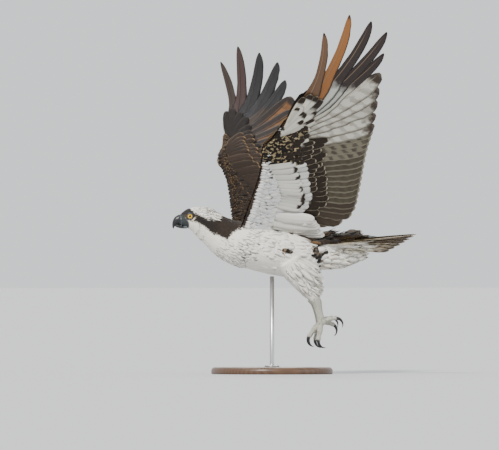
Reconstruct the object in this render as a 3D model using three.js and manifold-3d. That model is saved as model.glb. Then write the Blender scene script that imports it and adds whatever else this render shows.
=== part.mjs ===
// An osprey pushing off from its perch with both wings raised, as a life-size display model.
// Millimetres, +Z up. The bird faces -X and its left side is at -Y.
// The origin is the centre of the underside of the stand's base.
import * as THREE from "three";
import { mergeVertices } from "three/addons/utils/BufferGeometryUtils.js";
import Module from "manifold-3d";

const wasm = await Module();
wasm.setup();

// Driving dimensions
const GAP = 0.3; // between nodes that meet face to face
const BODY_SIDES = 18; // points round the trunk
const SEED = 7;
const VANE = 0.6; // thickness of a vane
const VARY = { length: 0.012, width: 0.05, reach: 0.04, lock: 0.16 }; // from feather to feather

const STAND = { radius: 140, thick: 16, edge: 2, rod: 5, flange: 17, flangeThick: 4, rodTop: 240 };

// The trunk from the bill's root to the tail's root: centre x and z of each section,
// its reach above and below the centre, and its half width.
const TRUNK = [
  { x: -219, z: 354, up: 12, down: 11.5, wide: 9.5 },
  { x: -209, z: 355, up: 20, down: 17.5, wide: 16 },
  { x: -196, z: 356, up: 27, down: 24, wide: 22 },
  { x: -181, z: 355, up: 32, down: 31, wide: 27 },
  { x: -166, z: 350, up: 36, down: 36, wide: 30 },
  { x: -152, z: 342, up: 39, down: 40, wide: 33 },
  { x: -130, z: 327, up: 44, down: 45, wide: 39 },
  { x: -106, z: 312, up: 50, down: 51, wide: 49 },
  { x: -78, z: 301, up: 56, down: 56, wide: 59 },
  { x: -45, z: 295, up: 58, down: 58, wide: 64 },
  { x: 0, z: 286, up: 60, down: 60, wide: 65 },
  { x: 46, z: 280, up: 58, down: 60, wide: 60 },
  { x: 88, z: 282, up: 48, down: 50, wide: 50 },
  { x: 122, z: 289, up: 36, down: 37, wide: 38 },
  { x: 150, z: 297, up: 24, down: 26, wide: 28 },
  { x: 172, z: 304, up: 14, down: 15, wide: 20 },
  { x: 190, z: 308, up: 6, down: 7, wide: 12 },
];
const TRUNK_RINGS = 32;
const HEAD_END = 4.6; // cuts, counted in sections of TRUNK
const NECK_END = 7.3;
const TORSO_END = 13.1;

const EYE = { x: -197.6, y: 15.6, z: 362.4, radius: 8.2, lid: 6.7, lidTube: 1.7 };

// The upper bill from its root to the tip of its hook
const BILL = [
  { x: -211, z: 354.5, up: 12, down: 11, wide: 9.5 },
  { x: -220, z: 354.5, up: 12, down: 11.5, wide: 9 },
  { x: -225, z: 353, up: 9.5, down: 10.5, wide: 7.6 },
  { x: -229.5, z: 348.5, up: 6.6, down: 7, wide: 5.4 },
  { x: -232.4, z: 342.5, up: 4.2, down: 3.4, wide: 3.2 },
  { x: -233.8, z: 337.5, up: 2, down: 1.8, wide: 1.6 },
  { x: -233.6, z: 334.5, up: 0.5, down: 0.5, wide: 0.4 },
];
const LOWER_BILL = [
  { x: -203, z: 339, up: 3.6, down: 4.4, wide: 8.6 },
  { x: -214, z: 338.6, up: 3.4, down: 3.6, wide: 7 },
  { x: -223, z: 339.6, up: 4.6, down: 2.8, wide: 4.8 },
  { x: -229.6, z: 341.2, up: 3.2, down: 1.4, wide: 2.8 },
];
const NOSTRIL = { x: -222.5, y: 7.6, z: 359, long: 3, high: 1.2 };

// The wing lies on a curved sheet: x runs back from the shoulder, s out along the span
// and h up from the sheet. The arm and the hand each have their own lift from level.
const SHOULDER = { x: -78, out: 42, z: 337 };
const WRIST_S = 242;
const WRIST_BLEND = 140; // the span over which the arm's lift turns into the hand's
const CAMBER = { high: 6, at: 70, half: 130 };
const WINGS = {
  left: { side: -1, arm: 48, hand: 40 },
  right: { side: 1, arm: 40, hand: 33 },
};

// Flight feathers, counted inwards from the outermost primary: 10 primaries, 13
// secondaries and 3 tertials. Each knot is the count, then x, s and h of the tip or root.
const PRIMARIES = 10;
const SECONDARIES = 13;
const FLIGHT = 26;
const FLIGHT_TIPS = [
  [0, 84, 609, 30],
  [1, 135, 662, 40],
  [2, 186, 653, 32],
  [3, 226, 627, 26],
  [4, 231, 560, 20],
  [5, 234, 498, 14],
  [7, 241, 414, 3],
  [9, 250, 334, 0],
  [13, 250, 252, 0],
  [22, 254, 84, 0],
  [24, 248, 45, 0],
  [25, 230, 21, 0],
];
const FLIGHT_ROOTS = [
  [0, 50, 332, -3],
  [4, 44, 300, 0],
  [9, 36, 254, 0],
  [11, 38, 230, 0],
  [22, 102, 98, 0],
  [25, 92, 56, 0],
];
const FLIGHT_WIDTH = { outermost: 40, primary: 54, secondary: 52, tertial: 46 };
const FINGERS = 5; // primaries that narrow into fingers
const FINGER_BOW = { first: -20, last: -6 };
const FLIGHT_TILT = 0.1; // rise over width, so that each vane clears the next

// The flesh of the wing: span, leading edge, trailing edge and half thickness
const WING_CORE = [
  [-44, -8, 100, 13],
  [0, -4, 106, 13],
  [50, 1, 112, 12],
  [110, 8, 108, 11],
  [163, 12, 82, 10],
  [210, 9, 60, 9],
  [248, 14, 52, 8.5],
  [290, 28, 60, 7],
  [340, 43, 64, 4],
];
const CORE_RINGS = 6;
const CORE_SIDES = 6;

// Rows of coverts: which flight feathers they lie along, how far they reach along
// them, how high over the sheet they sit at root and tip, and their width.
const COVERT_ROWS = [
  { name: "greater primary", from: 0.4, to: 8.8, count: 7, start: -8, reach: 0.36, rise: 2.5, lie: 5, width: 30 },
  { name: "greater secondary", from: 10.6, to: 24, count: 9, start: -24, reach: 0.48, rise: 3.6, lie: 6, width: 44 },
  { name: "median", from: 8.6, to: 24, count: 8, start: -26, reach: 0.27, rise: 5, lie: 9.4, width: 46 },
  { name: "under primary", from: 0.4, to: 8.8, count: 7, start: -8, reach: 0.34, rise: -4.6, lie: -7, width: 30 },
  { name: "under secondary", from: 10.6, to: 24, count: 9, start: -24, reach: 0.52, rise: -3, lie: -6.2, width: 44 },
  { name: "under median", from: 8.6, to: 24, count: 8, start: -26, reach: 0.3, rise: -5, lie: -10.6, width: 46 },
];
const ALULA = { count: 2, x: 22, s: 252, tipX: 52, tipS: 340, step: 11, width: 19, h: 6 };

// Long feathers under the wing's root, which close the gap between wing and back
const AXILLARIES = {
  count: 4, rootX: 74, rootS: -8, tipX: 187, tipS: -12, step: 13, shorten: 7, width: 34, rise: -7, lie: -13,
};

// The tail: a fan of feathers on the trunk's end, near side rolled down
const TAIL = {
  x: 152, z: 303, count: 12, spread: 32, length: 190, outerLoss: 16, width: 46, pitch: 4, roll: 10, arch: 6, rootOut: 13, top: 4,
  layer: 0.95, stumpRings: 14, stumpSides: 8,
};
const TAIL_COVERTS = [
  { name: "above", count: 7, length: 88, start: -18, root: 6, tip: 10, rise: -0.9 },
  { name: "below", count: 7, length: 96, start: -16, root: -7, tip: -17, rise: -0.9 },
  { name: "under base", count: 5, length: 62, start: -18, root: -14, tip: -31, rise: -0.9 },
];

// Each leg from the hip to the foot: centre x and z, and radius
const LEG = [
  { x: 30, z: 262, r: 31 },
  { x: 46, z: 237, r: 28 },
  { x: 61, z: 215, r: 23.5 },
  { x: 74, z: 197, r: 19 },
  { x: 87, z: 180, r: 14 },
  { x: 97, z: 165, r: 11.5 },
  { x: 101, z: 150, r: 9 },
  { x: 105, z: 134, r: 8.4 },
  { x: 109, z: 120, r: 9.6 },
  { x: 110, z: 113, r: 7 },
];
const LEG_SIDES = 10;
const LEG_RINGS = 18;
const HEEL = 4.9; // cuts, counted in sections of LEG
const ANKLE = 7.4;
const LEGS = {
  left: { side: -1, out: 36, shift: 0 },
  right: { side: 1, out: 36, shift: 14 },
};
const LEG_TUFTS = { count: 4, length: 62, width: 22 };

// Toes start at the foot's hub; forward and down are their reach, out is away from the midline
const TOES = [
  { name: "inner", forward: 29, down: 35, out: -11, r: 6.2 },
  { name: "middle", forward: 10, down: 43, out: 7, r: 6.2 },
  { name: "outer", forward: -33, down: -9, out: 12, r: 5.8 },
  { name: "hind", forward: -31, down: 7, out: -8, r: 5.8 },
];
const TALON = { long: 32, r: 3.9, turn: 120, sunk: 1.5 };

const CREST = { count: 5, length: 34, width: 12, lift: 9, fan: 0.34 };

const COLOURS = {
  white: "#e9e6dc", brown: "#4a3626", dark: "#2a211b", bill: "#20262a", eye: "#e0a800",
  skin: "#cfd3c4", talon: "#141414", wood: "#5b4632", steel: "#9a9da0",
};

const { degToRad, lerp, smoothstep } = THREE.MathUtils;
const point = (x, y, z) => new THREE.Vector3(x, y, z);

// A small seeded generator, so that every build is the same
function seeded(seed) {
  let state = seed;
  return () => {
    state = (state * 16807) % 2147483647;
    return state / 2147483647;
  };
}

const chance = seeded(SEED);

// A size made a little more or less, by a share of it, as from feather to feather
function varied(size, share) {
  return size * (1 + share * (2 * chance() - 1));
}

// Reads knots [at, values...] as smooth curves through them
function track(knots, at) {
  let i = 0;
  while (i < knots.length - 2 && at > knots[i + 1][0]) i++;
  const [a, b] = [knots[i], knots[i + 1]];
  const before = knots[Math.max(0, i - 1)];
  const after = knots[Math.min(knots.length - 1, i + 2)];
  const step = b[0] - a[0];
  const u = (at - a[0]) / step;
  return a.slice(1).map((value, k) => {
    const next = b[k + 1];
    const slopeIn = ((next - before[k + 1]) / (b[0] - before[0])) * step;
    const slopeOut = ((after[k + 1] - value) / (after[0] - a[0])) * step;
    const u2 = u * u;
    const u3 = u2 * u;
    return (
      (2 * u3 - 3 * u2 + 1) * value + (u3 - 2 * u2 + u) * slopeIn + (3 * u2 - 2 * u3) * next + (u3 - u2) * slopeOut
    );
  });
}

// Closed solids

function closed(points, faces) {
  const vertProperties = new Float32Array(points.flatMap((p) => [p.x, p.y, p.z]));
  const build = (list) =>
    new wasm.Manifold(new wasm.Mesh({ numProp: 3, vertProperties, triVerts: new Uint32Array(list) }));
  const made = build(faces);
  if (made.volume() > 0) return made;
  const turned = [];
  for (let i = 0; i < faces.length; i += 3) turned.push(faces[i], faces[i + 2], faces[i + 1]);
  return build(turned);
}

// A skin over rings of points, closed at both ends by a fan
function loft(rings) {
  const around = rings[0].length;
  const points = rings.flat();
  const faces = [];
  for (let i = 0; i + 1 < rings.length; i++)
    for (let j = 0; j < around; j++) {
      const k = (j + 1) % around;
      const [a, b] = [i * around + j, i * around + k];
      faces.push(a, a + around, b, b, a + around, b + around);
    }
  for (const ring of [0, rings.length - 1]) {
    const middle = points.length;
    points.push(rings[ring].reduce((sum, p) => sum.add(p), point(0, 0, 0)).divideScalar(around));
    for (let j = 0; j < around; j++) {
      const [a, b] = [ring * around + j, ring * around + ((j + 1) % around)];
      faces.push(...(ring ? [a, middle, b] : [a, b, middle]));
    }
  }
  return closed(points, faces);
}

// A slab from a grid of points: rows along its length, columns across. Both faces are
// split into triangles alike.
function slab(rows, thick, lift) {
  const columns = rows[0].length;
  const count = rows.length * columns;
  const upper = rows.flat();
  const points = [...upper.map((p) => lift(p, thick / 2)), ...upper.map((p) => lift(p, -thick / 2))];
  const faces = [];
  const at = (i, j) => i * columns + j;
  for (let i = 0; i + 1 < rows.length; i++)
    for (let j = 0; j + 1 < columns; j++) {
      const [a, b, c, d] = [at(i, j), at(i, j + 1), at(i + 1, j + 1), at(i + 1, j)];
      faces.push(a, b, c, a, c, d);
      faces.push(count + a, count + c, count + b, count + a, count + d, count + c);
    }
  const rim = [];
  for (let j = 0; j + 1 < columns; j++) rim.push(at(0, j));
  for (let i = 0; i + 1 < rows.length; i++) rim.push(at(i, columns - 1));
  for (let j = columns - 1; j > 0; j--) rim.push(at(rows.length - 1, j));
  for (let i = rows.length - 1; i > 0; i--) rim.push(at(i, 0));
  rim.forEach((a, k) => {
    const b = rim[(k + 1) % rim.length];
    faces.push(a, count + a, b, b, count + a, count + b);
  });
  return closed(points, faces);
}

function fromGeometry(geometry) {
  geometry.deleteAttribute("normal");
  geometry.deleteAttribute("uv");
  const merged = mergeVertices(geometry, 1e-3);
  const position = merged.getAttribute("position");
  const points = [];
  for (let i = 0; i < position.count; i++) points.push(new THREE.Vector3().fromBufferAttribute(position, i));
  return closed(points, Array.from(merged.index.array));
}

// The outline of a vane: share of its full width at each share of its length
const FEATHER = { u: [0, 0.45, 0.87, 1], w: [0.45, 0.96, 0.92, 0.28] };
const FINGER = { u: [0, 0.22, 0.38, 0.54, 0.86, 1], w: [0.4, 0.92, 0.92, 0.56, 0.44, 0.1] };
const COVERT = { u: [0, 0.8, 1], w: [0.75, 1, 0.35] };
const LOCK = { u: [0, 0.55, 1], w: [0.8, 0.75, 0.12] };

// A feather's vane on a sheet. root and tip are [x, s, h]; place puts them in space.
// outer is the share of the width on the side of rising s, which the tilt raises.
function vane(place, { root, tip, width, outline, thick = VANE, tilt = 0, outer = 0.5, bow = 0, lateness = 1 }) {
  const along = new THREE.Vector2(tip[0] - root[0], tip[1] - root[1]).normalize();
  const side = new THREE.Vector2(-along.y, along.x);
  const rows = outline.u.map((u, i) => {
    const hump = 4 * u * (1 - u);
    const x = lerp(root[0], tip[0], u) + side.x * bow * hump;
    const s = lerp(root[1], tip[1], u) + side.y * bow * hump;
    const h = lerp(root[2], tip[2], u ** lateness);
    const wide = width * outline.w[i];
    const across = [-(1 - outer) * wide, outer * wide];
    return across.map((d) => [x + side.x * d, s + side.y * d, h + tilt * d]);
  });
  return slab(rows, thick, ([x, s, h], up) => place(x, s, h + up));
}

// Joins solids and keeps the largest closed surface
function join(pieces) {
  return largest(wasm.Manifold.union(pieces));
}

function largest(made) {
  return made.decompose().reduce((best, piece) => (piece.volume() > best.volume() ? piece : best));
}

// Keeps what lies ahead of a plane through a point
function keepAhead(made, at, normal) {
  return made.trimByPlane([normal.x, normal.y, normal.z], at.dot(normal));
}

// Sections along a curve in the plane y = side

function sectionAt(sections, at) {
  const keys = Object.keys(sections[0]);
  const knots = sections.map((section, i) => [i, ...keys.map((key) => section[key])]);
  const values = track(knots, at);
  return Object.fromEntries(keys.map((key, k) => [key, values[k]]));
}

function frameAt(sections, at) {
  const step = 0.02;
  const last = sections.length - 1;
  const [a, b] = [sectionAt(sections, Math.max(0, at - step)), sectionAt(sections, Math.min(last, at + step))];
  const tangent = point(b.x - a.x, 0, b.z - a.z).normalize();
  const here = sectionAt(sections, at);
  return { here, centre: point(here.x, 0, here.z), tangent, up: point(-tangent.z, 0, tangent.x) };
}

// A body of oval sections, grown outwards by grow
function ovalBody(sections, rings, sides, grow = 0, y = 0) {
  const last = sections.length - 1;
  const made = [];
  for (let i = 0; i <= rings; i++) {
    const { here, centre, up } = frameAt(sections, (i / rings) * last);
    const high = Math.sign(up.z) || 1;
    const ring = [];
    for (let j = 0; j < sides; j++) {
      const angle = (j / sides) * 2 * Math.PI;
      const reach = Math.cos(angle) > 0 ? (here.up ?? here.r) : (here.down ?? here.r);
      const rise = (reach + grow) * Math.cos(angle) * high;
      ring.push(
        centre
          .clone()
          .addScaledVector(up, rise)
          .setY(y + ((here.wide ?? here.r) + grow) * Math.sin(angle)),
      );
    }
    made.push(ring);
  }
  return loft(made);
}

const trunk = ovalBody(TRUNK, TRUNK_RINGS, BODY_SIDES);
const trunkGrown = ovalBody(TRUNK, TRUNK_RINGS, BODY_SIDES, GAP);

function trunkBetween(from, to) {
  let made = trunk;
  if (from !== null) {
    const cut = frameAt(TRUNK, from);
    made = keepAhead(made, cut.centre.clone().addScaledVector(cut.tangent, GAP / 2), cut.tangent);
  }
  if (to !== null) {
    const cut = frameAt(TRUNK, to);
    made = keepAhead(made, cut.centre.clone().addScaledVector(cut.tangent, -GAP / 2), cut.tangent.clone().negate());
  }
  return largest(made);
}

// Head, bill and eyes

function ball(x, y, z, rx, ry, rz) {
  return fromGeometry(new THREE.SphereGeometry(1, 8, 5).scale(rx, ry, rz).translate(x, y, z));
}

function eyeball(radius) {
  return new THREE.SphereGeometry(radius, 12, 8);
}

function eyeAxis(side) {
  return point(-0.3, side * 0.94, 0.12).normalize();
}

function lidRing(side) {
  const turn = new THREE.Quaternion().setFromUnitVectors(point(0, 0, 1), eyeAxis(side));
  const centre = point(EYE.x, side * EYE.y, EYE.z).addScaledVector(eyeAxis(side), 4.6);
  const ring = new THREE.TorusGeometry(EYE.lid, EYE.lidTube, 4, 12);
  return fromGeometry(ring.applyQuaternion(turn).translate(centre.x, centre.y, centre.z));
}

function brow(side) {
  return ball(EYE.x + 5, side * (EYE.y + 1.5), EYE.z + 9, 15, 4.5, 3.4);
}

// Places a point over the crown: back along the trunk, out round it and up from its skin
function onCrown(back, around, rise) {
  const { here, centre, up } = frameAt(TRUNK, back);
  const reach = here.up + rise;
  return centre
    .clone()
    .addScaledVector(up, reach * Math.cos(around))
    .setY((here.wide + rise) * Math.sin(around));
}

function crestLock(number) {
  const across = number - (CREST.count - 1) / 2;
  const around = across * CREST.fan;
  const side = point(0, Math.cos(around), -Math.sin(around));
  const from = onCrown(4.1, around, -4);
  const to = onCrown(4.1, around, 0);
  const length = varied(CREST.length * (1 - 0.05 * Math.abs(across)), VARY.lock);
  const place = (x, s, h) => {
    const share = x / length;
    return from
      .clone()
      .lerp(to, share)
      .add(point(x * 0.93, 0, -x * 0.3 + CREST.lift * share))
      .addScaledVector(side, s)
      .add(point(0, 0, h));
  };
  return vane(place, { root: [0, 0, 0], tip: [length, across * 1.5, 2], width: CREST.width, outline: LOCK });
}

function makeHead() {
  const sides = [-1, 1];
  const pieces = [trunkBetween(null, HEAD_END), ...sides.map(brow), ...sides.map(lidRing)];
  for (let i = 0; i < CREST.count; i++) pieces.push(crestLock(i));
  let head = join(pieces);
  for (const side of sides)
    head = head.subtract(fromGeometry(eyeball(EYE.radius + GAP).translate(EYE.x, side * EYE.y, EYE.z)));
  const front = BILL[1].x + 6;
  head = keepAhead(head, point(front + GAP, 0, 0), point(1, 0, 0));
  return largest(head.subtract(gape()));
}

// The slit of the mouth, which runs back under the eye
function gape() {
  const slit = new THREE.BoxGeometry(22, 70, 0.9).rotateY(degToRad(24)).translate(-209, 0, 345);
  return fromGeometry(slit);
}

function makeUpperBill() {
  let bill = ovalBody(BILL, 9, 12);
  for (const side of [-1, 1])
    bill = bill.subtract(
      fromGeometry(
        new THREE.SphereGeometry(1, 8, 6)
          .scale(NOSTRIL.long, 2, NOSTRIL.high)
          .rotateY(degToRad(30))
          .translate(NOSTRIL.x, side * NOSTRIL.y, NOSTRIL.z),
      ),
    );
  const front = BILL[1].x + 6;
  bill = keepAhead(bill, point(front, 0, 0), point(-1, 0, 0));
  return largest(bill.subtract(ovalBody(LOWER_BILL, 8, 10, GAP)));
}

function makeLowerBill() {
  return largest(keepAhead(ovalBody(LOWER_BILL, 8, 10), point(BILL[1].x + 6, 0, 0), point(-1, 0, 0)));
}

// Wings

// The arc of the span: distance out and height at s
function spanPath(wing) {
  const step = 4;
  const path = [];
  let [out, z] = [SHOULDER.out, SHOULDER.z];
  for (let s = 0; s <= 720; s += step) {
    const blend = smoothstep(s, WRIST_S - WRIST_BLEND / 2, WRIST_S + WRIST_BLEND / 2);
    const lift = degToRad(lerp(wing.arm, wing.hand, blend));
    path.push({ out, z, lift });
    out += step * Math.cos(lift);
    z += step * Math.sin(lift);
  }
  return (s) => {
    const first = Math.min(Math.max(Math.floor(s / step), 0), path.length - 1);
    const { out: o, z: height, lift } = path[first];
    const rest = s - first * step;
    return { out: o + rest * Math.cos(lift), z: height + rest * Math.sin(lift), lift };
  };
}

function wingSheet(wing) {
  const span = spanPath(wing);
  return (x, s, h) => {
    const { out, z, lift } = span(s);
    const up = h + CAMBER.high * (1 - ((x - CAMBER.at) / CAMBER.half) ** 2);
    return point(SHOULDER.x + x, wing.side * (out - up * Math.sin(lift)), z + up * Math.cos(lift));
  };
}

function wingCore(place) {
  const rings = [];
  for (let i = 0; i <= CORE_RINGS; i++) {
    const s = lerp(WING_CORE[0][0], WING_CORE.at(-1)[0], i / CORE_RINGS);
    const [front, back, half] = track(WING_CORE, s);
    const ring = [];
    for (let j = 0; j < CORE_SIDES; j++) {
      const angle = (j / CORE_SIDES) * 2 * Math.PI;
      const share = (1 - Math.cos(angle)) / 2;
      const bulge = half * Math.sin(angle) * (1.15 - 0.75 * share);
      ring.push(place(lerp(front, back, share), s, bulge));
    }
    rings.push(ring);
  }
  return loft(rings);
}

function flightWidth(n) {
  if (n >= PRIMARIES + SECONDARIES) return FLIGHT_WIDTH.tertial;
  if (n >= PRIMARIES) return FLIGHT_WIDTH.secondary;
  return lerp(FLIGHT_WIDTH.outermost, FLIGHT_WIDTH.primary, Math.min(1, n / 2));
}

function flightFeather(place, n) {
  const finger = n < FINGERS;
  const primary = n < PRIMARIES;
  const root = track(FLIGHT_ROOTS, n);
  const [tipX, tipS, tipH] = track(FLIGHT_TIPS, n);
  const long = varied(1, VARY.length);
  return vane(place, {
    root,
    tip: [lerp(root[0], tipX, long), lerp(root[1], tipS, long), tipH],
    width: varied(flightWidth(n), VARY.width),
    outline: finger ? FINGER : FEATHER,
    tilt: FLIGHT_TILT,
    outer: primary ? 0.34 : 0.42,
    bow: finger ? lerp(FINGER_BOW.first, FINGER_BOW.last, n / FINGERS) : primary ? FINGER_BOW.last : 0,
    lateness: primary ? 3.4 : 1,
  });
}

function coverts(place, row) {
  const made = [];
  for (let i = 0; i < row.count; i++) {
    const n = lerp(row.from, row.to, i / (row.count - 1));
    const root = track(FLIGHT_ROOTS, n);
    const tip = track(FLIGHT_TIPS, n);
    const run = new THREE.Vector2(tip[0] - root[0], tip[1] - root[1]);
    const length = run.length();
    run.normalize();
    const along = (far, h) => [root[0] + run.x * far, root[1] + run.y * far, h];
    made.push(
      vane(place, {
        root: along(row.start, row.rise),
        tip: along(varied(row.reach * length, VARY.reach), row.lie),
        width: varied(row.width, VARY.width),
        outline: COVERT,
        tilt: FLIGHT_TILT / 2,
      }),
    );
  }
  return made;
}

function alula(place) {
  const made = [];
  for (let i = 0; i < ALULA.count; i++)
    made.push(
      vane(place, {
        root: [ALULA.x + 3 * i, ALULA.s - ALULA.step * i, ALULA.h - 3],
        tip: [ALULA.tipX + 3 * i, ALULA.tipS - 2 * ALULA.step * i, ALULA.h + i],
        width: ALULA.width,
        outline: COVERT,
        tilt: FLIGHT_TILT / 2,
      }),
    );
  return made;
}

function axillaries(place) {
  const made = [];
  for (let i = 0; i < AXILLARIES.count; i++)
    made.push(
      vane(place, {
        root: [AXILLARIES.rootX, AXILLARIES.rootS + AXILLARIES.step * i, AXILLARIES.rise],
        tip: [
          varied(AXILLARIES.tipX - AXILLARIES.shorten * i, VARY.reach),
          AXILLARIES.tipS + AXILLARIES.step * i,
          AXILLARIES.lie,
        ],
        width: varied(AXILLARIES.width, VARY.width),
        outline: COVERT,
        tilt: FLIGHT_TILT,
      }),
    );
  return made;
}

function makeWing(wing) {
  const place = wingSheet(wing);
  const pieces = [wingCore(place), ...alula(place), ...axillaries(place)];
  for (let n = 0; n < FLIGHT; n++) pieces.push(flightFeather(place, n));
  for (const row of COVERT_ROWS) pieces.push(...coverts(place, row));
  return largest(join(pieces).subtract(trunkGrown));
}

// Tail

// Feathers fan out on a sheet: x back from the tail's root, s across and h up from it
function tailSheet(x, s, h) {
  const turn = new THREE.Euler(degToRad(-TAIL.roll), degToRad(-TAIL.pitch), 0);
  const sagged = h - TAIL.arch * (s / 100) ** 2;
  return point(x, s, sagged).applyEuler(turn).add(point(TAIL.x, 0, TAIL.z));
}

// Each feather of a fan lies under its neighbour nearer the midline, left and right in turn
function stacked(across, count) {
  const order = Math.abs(across) * (count - 1) + (across > 0 ? 1 : 0);
  return order * TAIL.layer;
}

function rectrix(number) {
  const across = (2 * number) / (TAIL.count - 1) - 1;
  const angle = degToRad(TAIL.spread) * across;
  const length = varied(TAIL.length - TAIL.outerLoss * Math.abs(across), VARY.length);
  const level = TAIL.top - stacked(across, TAIL.count);
  return vane(tailSheet, {
    root: [-14, TAIL.rootOut * across, level],
    tip: [length * Math.cos(angle), length * Math.sin(angle) + TAIL.rootOut * across, level],
    width: varied(TAIL.width, VARY.width),
    outline: FEATHER,
    outer: 0.5 - 0.16 * across,
  });
}

function tailCoverts({ count, length, start, root, tip, rise }) {
  const made = [];
  for (let i = 0; i < count; i++) {
    const across = (2 * i) / (count - 1) - 1;
    const angle = degToRad(TAIL.spread - 8) * across;
    const reach = varied(length * (1 - 0.14 * Math.abs(across)), VARY.reach);
    const level = rise * stacked(across, count);
    made.push(
      vane(tailSheet, {
        root: [start, 12 * across, root + level],
        tip: [reach * Math.cos(angle), reach * Math.sin(angle), tip + level],
        width: 32,
        outline: COVERT,
      }),
    );
  }
  return made;
}

function makeTail() {
  const pieces = [ovalBody(TRUNK, TAIL.stumpRings, TAIL.stumpSides)];
  for (let i = 0; i < TAIL.count; i++) pieces.push(rectrix(i));
  for (const row of TAIL_COVERTS) pieces.push(...tailCoverts(row));
  const cut = frameAt(TRUNK, TORSO_END);
  return largest(keepAhead(join(pieces), cut.centre.clone().addScaledVector(cut.tangent, GAP / 2), cut.tangent));
}

// Legs

function legSections(leg) {
  return LEG.map((section) => ({ ...section, x: section.x + leg.shift }));
}

function legPart(leg, from, to) {
  const sections = legSections(leg);
  let made = ovalBody(sections, LEG_RINGS, LEG_SIDES, 0, leg.side * leg.out);
  if (from !== null) {
    const cut = frameAt(sections, from);
    made = keepAhead(made, cut.centre.clone().addScaledVector(cut.tangent, GAP / 2), cut.tangent);
  }
  if (to !== null) {
    const cut = frameAt(sections, to);
    made = keepAhead(made, cut.centre.clone().addScaledVector(cut.tangent, -GAP / 2), cut.tangent.clone().negate());
  }
  return made;
}

// Long feathers hang back from the thigh
function legTuft(leg, number) {
  const sections = legSections(leg);
  const across = number - (LEG_TUFTS.count - 1) / 2;
  const start = frameAt(sections, 1.1 + 0.3 * (number % 3));
  const back = point(1, 0, -0.25 - 0.2 * (number % 3)).normalize();
  const from = start.centre.clone().add(point(6, leg.side * leg.out + across * 7, -2));
  const place = (x, s, h) =>
    from
      .clone()
      .addScaledVector(back, x)
      .add(point(0, s, h - 0.0016 * x * x));
  return vane(place, {
    root: [0, 0, 0],
    tip: [varied(LEG_TUFTS.length, VARY.lock), 0, 0],
    width: varied(LEG_TUFTS.width, VARY.width),
    outline: COVERT,
  });
}

function makeThigh(leg) {
  const pieces = [legPart(leg, null, HEEL)];
  for (let i = 0; i < LEG_TUFTS.count; i++) pieces.push(legTuft(leg, i));
  return largest(join(pieces).subtract(trunkGrown));
}

function toePath(leg, toe) {
  const hub = LEG.at(-2);
  const from = point(hub.x + leg.shift, leg.side * leg.out, hub.z);
  const to = from.clone().add(point(-toe.forward, leg.side * toe.out, -toe.down));
  const knuckle = from.clone().lerp(to, 0.5).add(point(0, 0, 4));
  return new THREE.QuadraticBezierCurve3(from, knuckle, to);
}

// A round tube along a curve whose radius is read at each share of its length
function tube(curve, rings, sides, radius) {
  const frames = curve.computeFrenetFrames(rings, false);
  const made = [];
  for (let i = 0; i <= rings; i++) {
    const at = curve.getPointAt(i / rings);
    const ring = [];
    for (let j = 0; j < sides; j++) {
      const angle = (j / sides) * 2 * Math.PI;
      const r = radius(i / rings);
      ring.push(
        at
          .clone()
          .addScaledVector(frames.normals[i], r * Math.cos(angle))
          .addScaledVector(frames.binormals[i], r * Math.sin(angle)),
      );
    }
    made.push(ring);
  }
  return loft(made);
}

// A toe swells at its joints and narrows towards the talon
function makeToe(leg, toe) {
  const radius = (share) => toe.r * (1 - 0.18 * share) * (1 + 0.1 * Math.cos(share * 4 * Math.PI));
  return tube(toePath(leg, toe), 6, 6, radius);
}

function makeFoot(leg) {
  const pieces = [largest(legPart(leg, ANKLE, null))];
  for (const toe of TOES) pieces.push(makeToe(leg, toe));
  return join(pieces);
}

// A talon curls down from the tip of its toe
function makeTalon(leg, toe) {
  const path = toePath(leg, toe);
  const start = path.getTangentAt(1);
  const curl = point(0.35, 0, -1).addScaledVector(start, -point(0.35, 0, -1).dot(start)).normalize();
  const tip = path.getPointAt(1);
  const from = tip.clone().addScaledVector(start, -TALON.sunk);
  const turn = degToRad(TALON.turn);
  const radius = TALON.long / turn;
  const points = [];
  for (let i = 0; i <= 8; i++) {
    const angle = (i / 8) * turn;
    points.push(
      from
        .clone()
        .addScaledVector(start, radius * Math.sin(angle))
        .addScaledVector(curl, radius * (1 - Math.cos(angle))),
    );
  }
  const talon = tube(new THREE.CatmullRomCurve3(points), 7, 6, (share) => lerp(TALON.r, 0.35, share ** 1.3));
  return largest(keepAhead(talon, tip.addScaledVector(start, GAP), start));
}

// Stand

function makeBase() {
  const { radius, thick, edge } = STAND;
  const profile = [
    [0, 0],
    [radius - edge, 0],
    [radius, edge],
    [radius, thick - edge],
    [radius - edge, thick],
    [0, thick],
  ].map(([x, y]) => new THREE.Vector2(x, y));
  return fromGeometry(new THREE.LatheGeometry(profile, 40).rotateX(Math.PI / 2));
}

function makeRod() {
  const foot = STAND.thick + GAP;
  const profile = [
    [0, foot],
    [STAND.flange, foot],
    [STAND.flange, foot + STAND.flangeThick],
    [STAND.rod, foot + STAND.flangeThick + 3],
    [STAND.rod, STAND.rodTop],
    [0, STAND.rodTop],
  ].map(([x, y]) => new THREE.Vector2(x, y));
  const rod = fromGeometry(new THREE.LatheGeometry(profile, 20).rotateX(Math.PI / 2));
  return largest(rod.subtract(trunkGrown));
}

// The scene graph

function material(colour, roughness, metalness = 0) {
  return new THREE.MeshStandardMaterial({ color: colour, roughness, metalness });
}

const MATERIALS = {
  white: material(COLOURS.white, 0.85),
  brown: material(COLOURS.brown, 0.8),
  flight: material(COLOURS.dark, 0.7),
  bill: material(COLOURS.bill, 0.35),
  eye: material(COLOURS.eye, 0.15),
  skin: material(COLOURS.skin, 0.6),
  talon: material(COLOURS.talon, 0.3),
  wood: material(COLOURS.wood, 0.5),
  steel: material(COLOURS.steel, 0.35, 0.9),
};

const osprey = new THREE.Group();

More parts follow.
